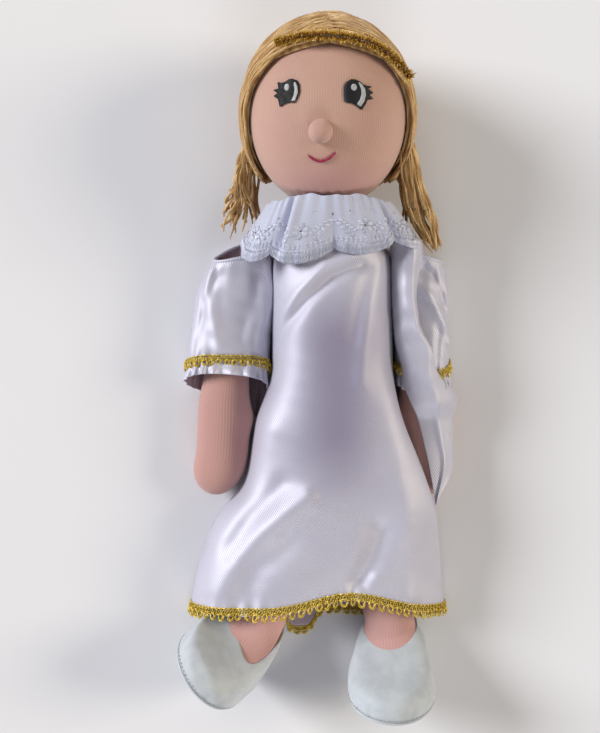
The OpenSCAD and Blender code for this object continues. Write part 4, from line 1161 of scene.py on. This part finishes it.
def collarPoint(q, s, out=0.0):
    # q round the neck with 90 in front, s from 0 at the neck to 1 at the scalloped edge
    r, sq, cq = np.radians(q), sinD(q), cosD(q)
    front, ahead = sq > 0, np.maximum(0, sq)
    rise = np.where(front, np.sqrt(ahead), sq)
    lift = np.where(front, collar["frontZ"] - collar["sideZ"], collar["sideZ"] - collar["backZ"])
    reach = np.where(front, along(q % 360, collar["reach"], 6),
                     lerp(collar["side"], collar["nape"], np.abs(sq)))
    tip = collar["scallopH"] * np.abs(np.sin(collar["scallops"] * r / 2)) ** 0.7 * s
    depth = np.where(front, collar["frontD"], collar["backD"]) / 2
    puckers = 0.7 * np.sin(7 * r) * ahead + 0.4 * np.sin(17 * r + 1)
    inner = [neck["at"][0] + collar["inW"] / 2 * cq, collar["top"] + collar["chin"] * ahead ** 1.5 + puckers,
             neck["at"][2] + depth * sq]
    outer = [body["x"] + collar["outW"] / 2 * cq - collar["outRight"] * np.maximum(0, -cq) ** 2,
             collar["top"] - reach - tip, collar["sideZ"] + lift * rise]
    x, y, z = [lerp(a, b, s) for a, b in zip(inner, outer)]
    wave = -collar["ruffle"] * np.cos(collar["scallops"] * r) * s + 0.35 * np.sin(23 * r + np.sin(4 * r)) * s
    puff = 1.4 * np.sin(np.pi * s) * ahead
    gather = 0.5 * np.cos(r * 37 + 2 * np.sin(5 * r)) * (1 - s) ** 2
    pleat = sum(high * bell(q - at - lean * s, wide) for at, lean, high, wide in collar["pleats"])
    away = wave + gather + puff + pleat * np.sin(np.pi * np.clip(0.1 + 0.8 * s, 0, 1)) + out
    return joined(x + away * cq, y, z + away * sq)


def collarScale(q, s):
    # millimetres for a degree round the collar and for a whole length of s
    across = collarPoint(q + 0.5, s) - collarPoint(q - 0.5, s)
    down = collarPoint(q, s + 0.02) - collarPoint(q, s - 0.02)
    return np.linalg.norm(across), np.linalg.norm(down) / 0.04


def satinLeaf(thread, q, s, angle, start, length, wide):
    # a leaf of parallel stitches on the collar, from start to start + length along an angle
    perDegree, perLength = collarScale(q, s)
    count = max(2, round(wide / laceStitch["pitch"]))
    for j in range(-count, count + 1):
        off = j / count
        half = 0.5 * math.sqrt(1.05 - off * off)
        span = start + length * np.linspace(0.5 - half, 0.5 + half, 5)
        side = off * wide / 2
        dx = span * math.cos(angle) - side * math.sin(angle)
        dy = span * math.sin(angle) + side * math.cos(angle)
        path = collarPoint(q + dx / perDegree, s + dy / perLength, laceStitch["leafOut"] + laceStitch["bow"])
        thread.tube(path, laceStitch["leaf"], 4, shade=rng.uniform(0, 0.3))


def makeCollar():
    qs = ringOf(collar["columns"], 360)
    rows = collarPoint(qs[None, :], np.linspace(0, 1, collar["rows"])[:, None])
    cells = (rows + np.roll(rows, -1, axis=1)) / 2
    cells = (cells[:-1] + cells[1:]) / 2
    skip = np.zeros(cells.shape[:2], bool)
    work, thread = Work(), Work()
    ring = np.linspace(0, math.tau, 17)
    step = 360 / collar["scallops"]
    for k in range(collar["scallops"]):
        # each scallop: a flower round an eyelet, a sprig of leaves at either side and small eyelets above
        mid = (k + 0.5) * step
        for off, s, r in ((0, 0.58, 0.8), (-0.5, 0.36, 0.7), (-0.2, 0.3, 0.55), (0.2, 0.3, 0.55)):
            q = mid + step * off
            skip |= np.linalg.norm(cells - collarPoint(q, s), axis=2) < r
            perDegree, perLength = collarScale(q, s)
            dx, dy = 1.15 * r * np.cos(ring), 1.15 * r * np.sin(ring)
            rim = collarPoint(q + dx / perDegree, s + dy / perLength, 0.15)
            thread.tube(rim, laceStitch["rim"], 5, shade=rng.uniform(0, 0.2))
        for petal in range(6):
            satinLeaf(thread, mid, 0.58, petal * math.tau / 6 + 0.3, 1.3, 3.4, 2.1)
        for side in (-1, 1):
            for j in range(5):
                q, s = mid + side * step * (0.2 + 0.055 * j), 0.66 - 0.05 * j
                turn = math.pi / 2 - side * (0.35 + 0.25 * j)
                satinLeaf(thread, q, s, turn, 0.2, 3.4, 1.3)
                satinLeaf(thread, q, s, turn + math.pi - side * 0.5, 0.2, 3.0, 1.2)
        for j in range(-6, 7):
            q = mid + step * 0.072 * j
            for turn in (0.7, -0.7):
                satinLeaf(thread, q, 0.79, math.pi * (j < 0) + turn * (1 if j >= 0 else -1), 0.15, 1.9, 0.8)
    # buttonhole stitches over the scalloped edge
    for q in ringOf(collar["edgeStitches"], 360):
        lean = rng.uniform(-0.15, 0.15)
        span = np.linspace(0.86 + rng.uniform(-0.012, 0.012), 1.01, 5)
        path = collarPoint(q + lean * np.linspace(0, 1, 5), span, laceStitch["edgeOut"] + laceStitch["bow"])
        thread.tube(path, laceStitch["edge"], 4, shade=rng.random() ** 2)
    work.grid(rows, True, skip=skip)
    cloth = work.piece("collarLace", [lace], "eyelet_lace", ["collar"], thickness=collar["thick"])
    for made in (cloth, thread.piece("collarStitches", [laceThread], "eyelet_lace")):
        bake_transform(made)


makeCollar()
print("collar made")


# Floor and light: pale floor, the strongest lamp at the upper left, weaker ones at the right and below

stage = dict(floor="#E4E4E9", grain="#E1E1E6", size=60.0, sky="#F4F4F8", skyStrength=0.22, aim=(0, 0, 0.03))


def makeStage():
    # matt paper: pale, with a faint grain
    material, tree = newMaterial("matt_paper", {"Roughness": 0.9, "Specular IOR Level": 0.2})
    grain = addNode(tree, "TexNoise", {"Scale": 900.0, "Detail": 2.0})
    tint = addNode(tree, "Mix", {0: grain.outputs["Fac"], 6: linear(stage["grain"]),
                                 7: linear(stage["floor"])}, data_type="RGBA")
    tree.links.new(tint.outputs[2], tree.nodes["Principled BSDF"].inputs["Base Color"])
    half = stage["size"] / 2
    mesh = bpy.data.meshes.new("floor")
    corners = [(-half, -half, 0), (half, -half, 0), (half, half, 0), (-half, half, 0)]
    mesh.from_pydata(corners, [], [(0, 1, 2, 3)])
    mesh.materials.append(material)
    floor = bpy.data.objects.new("floor", mesh)
    bpy.context.scene.collection.objects.link(floor)


# far lamps, so that the floor is lit evenly: strength in W/m2, spread in degrees
lamps = [dict(name="key", at=(-2.83, 1.06, 1.51), strength=3.25, spread=26, colour="#FFFFFF"),
         dict(name="fill", at=(2.72, 0.31, 1.4), strength=1.87, spread=23, colour="#FFF3DA"),
         dict(name="low", at=(0.28, -2.8, 1.54), strength=0.87, spread=27, colour="#FFFFFF")]


def makeLight():
    for lamp in lamps:
        data = bpy.data.lights.new(lamp["name"], "SUN")
        data.energy = lamp["strength"]
        data.color = linear(lamp["colour"])[:3]
        data.angle = math.radians(lamp["spread"])
        light = bpy.data.objects.new(lamp["name"], data)
        light.location = lamp["at"]
        light.rotation_euler = (Vector(stage["aim"]) - Vector(lamp["at"])).to_track_quat("-Z", "Y").to_euler()
        bpy.context.scene.collection.objects.link(light)
    world = bpy.data.worlds.new("studio")
    bpy.context.scene.world = world
    world.use_nodes = True
    background = world.node_tree.nodes["Background"]
    background.inputs["Color"].default_value = linear(stage["sky"])
    background.inputs["Strength"].default_value = stage["skyStrength"]


makeStage()
makeLight()
bpy.context.scene.view_settings.view_transform = "Standard"
print("scene ready")
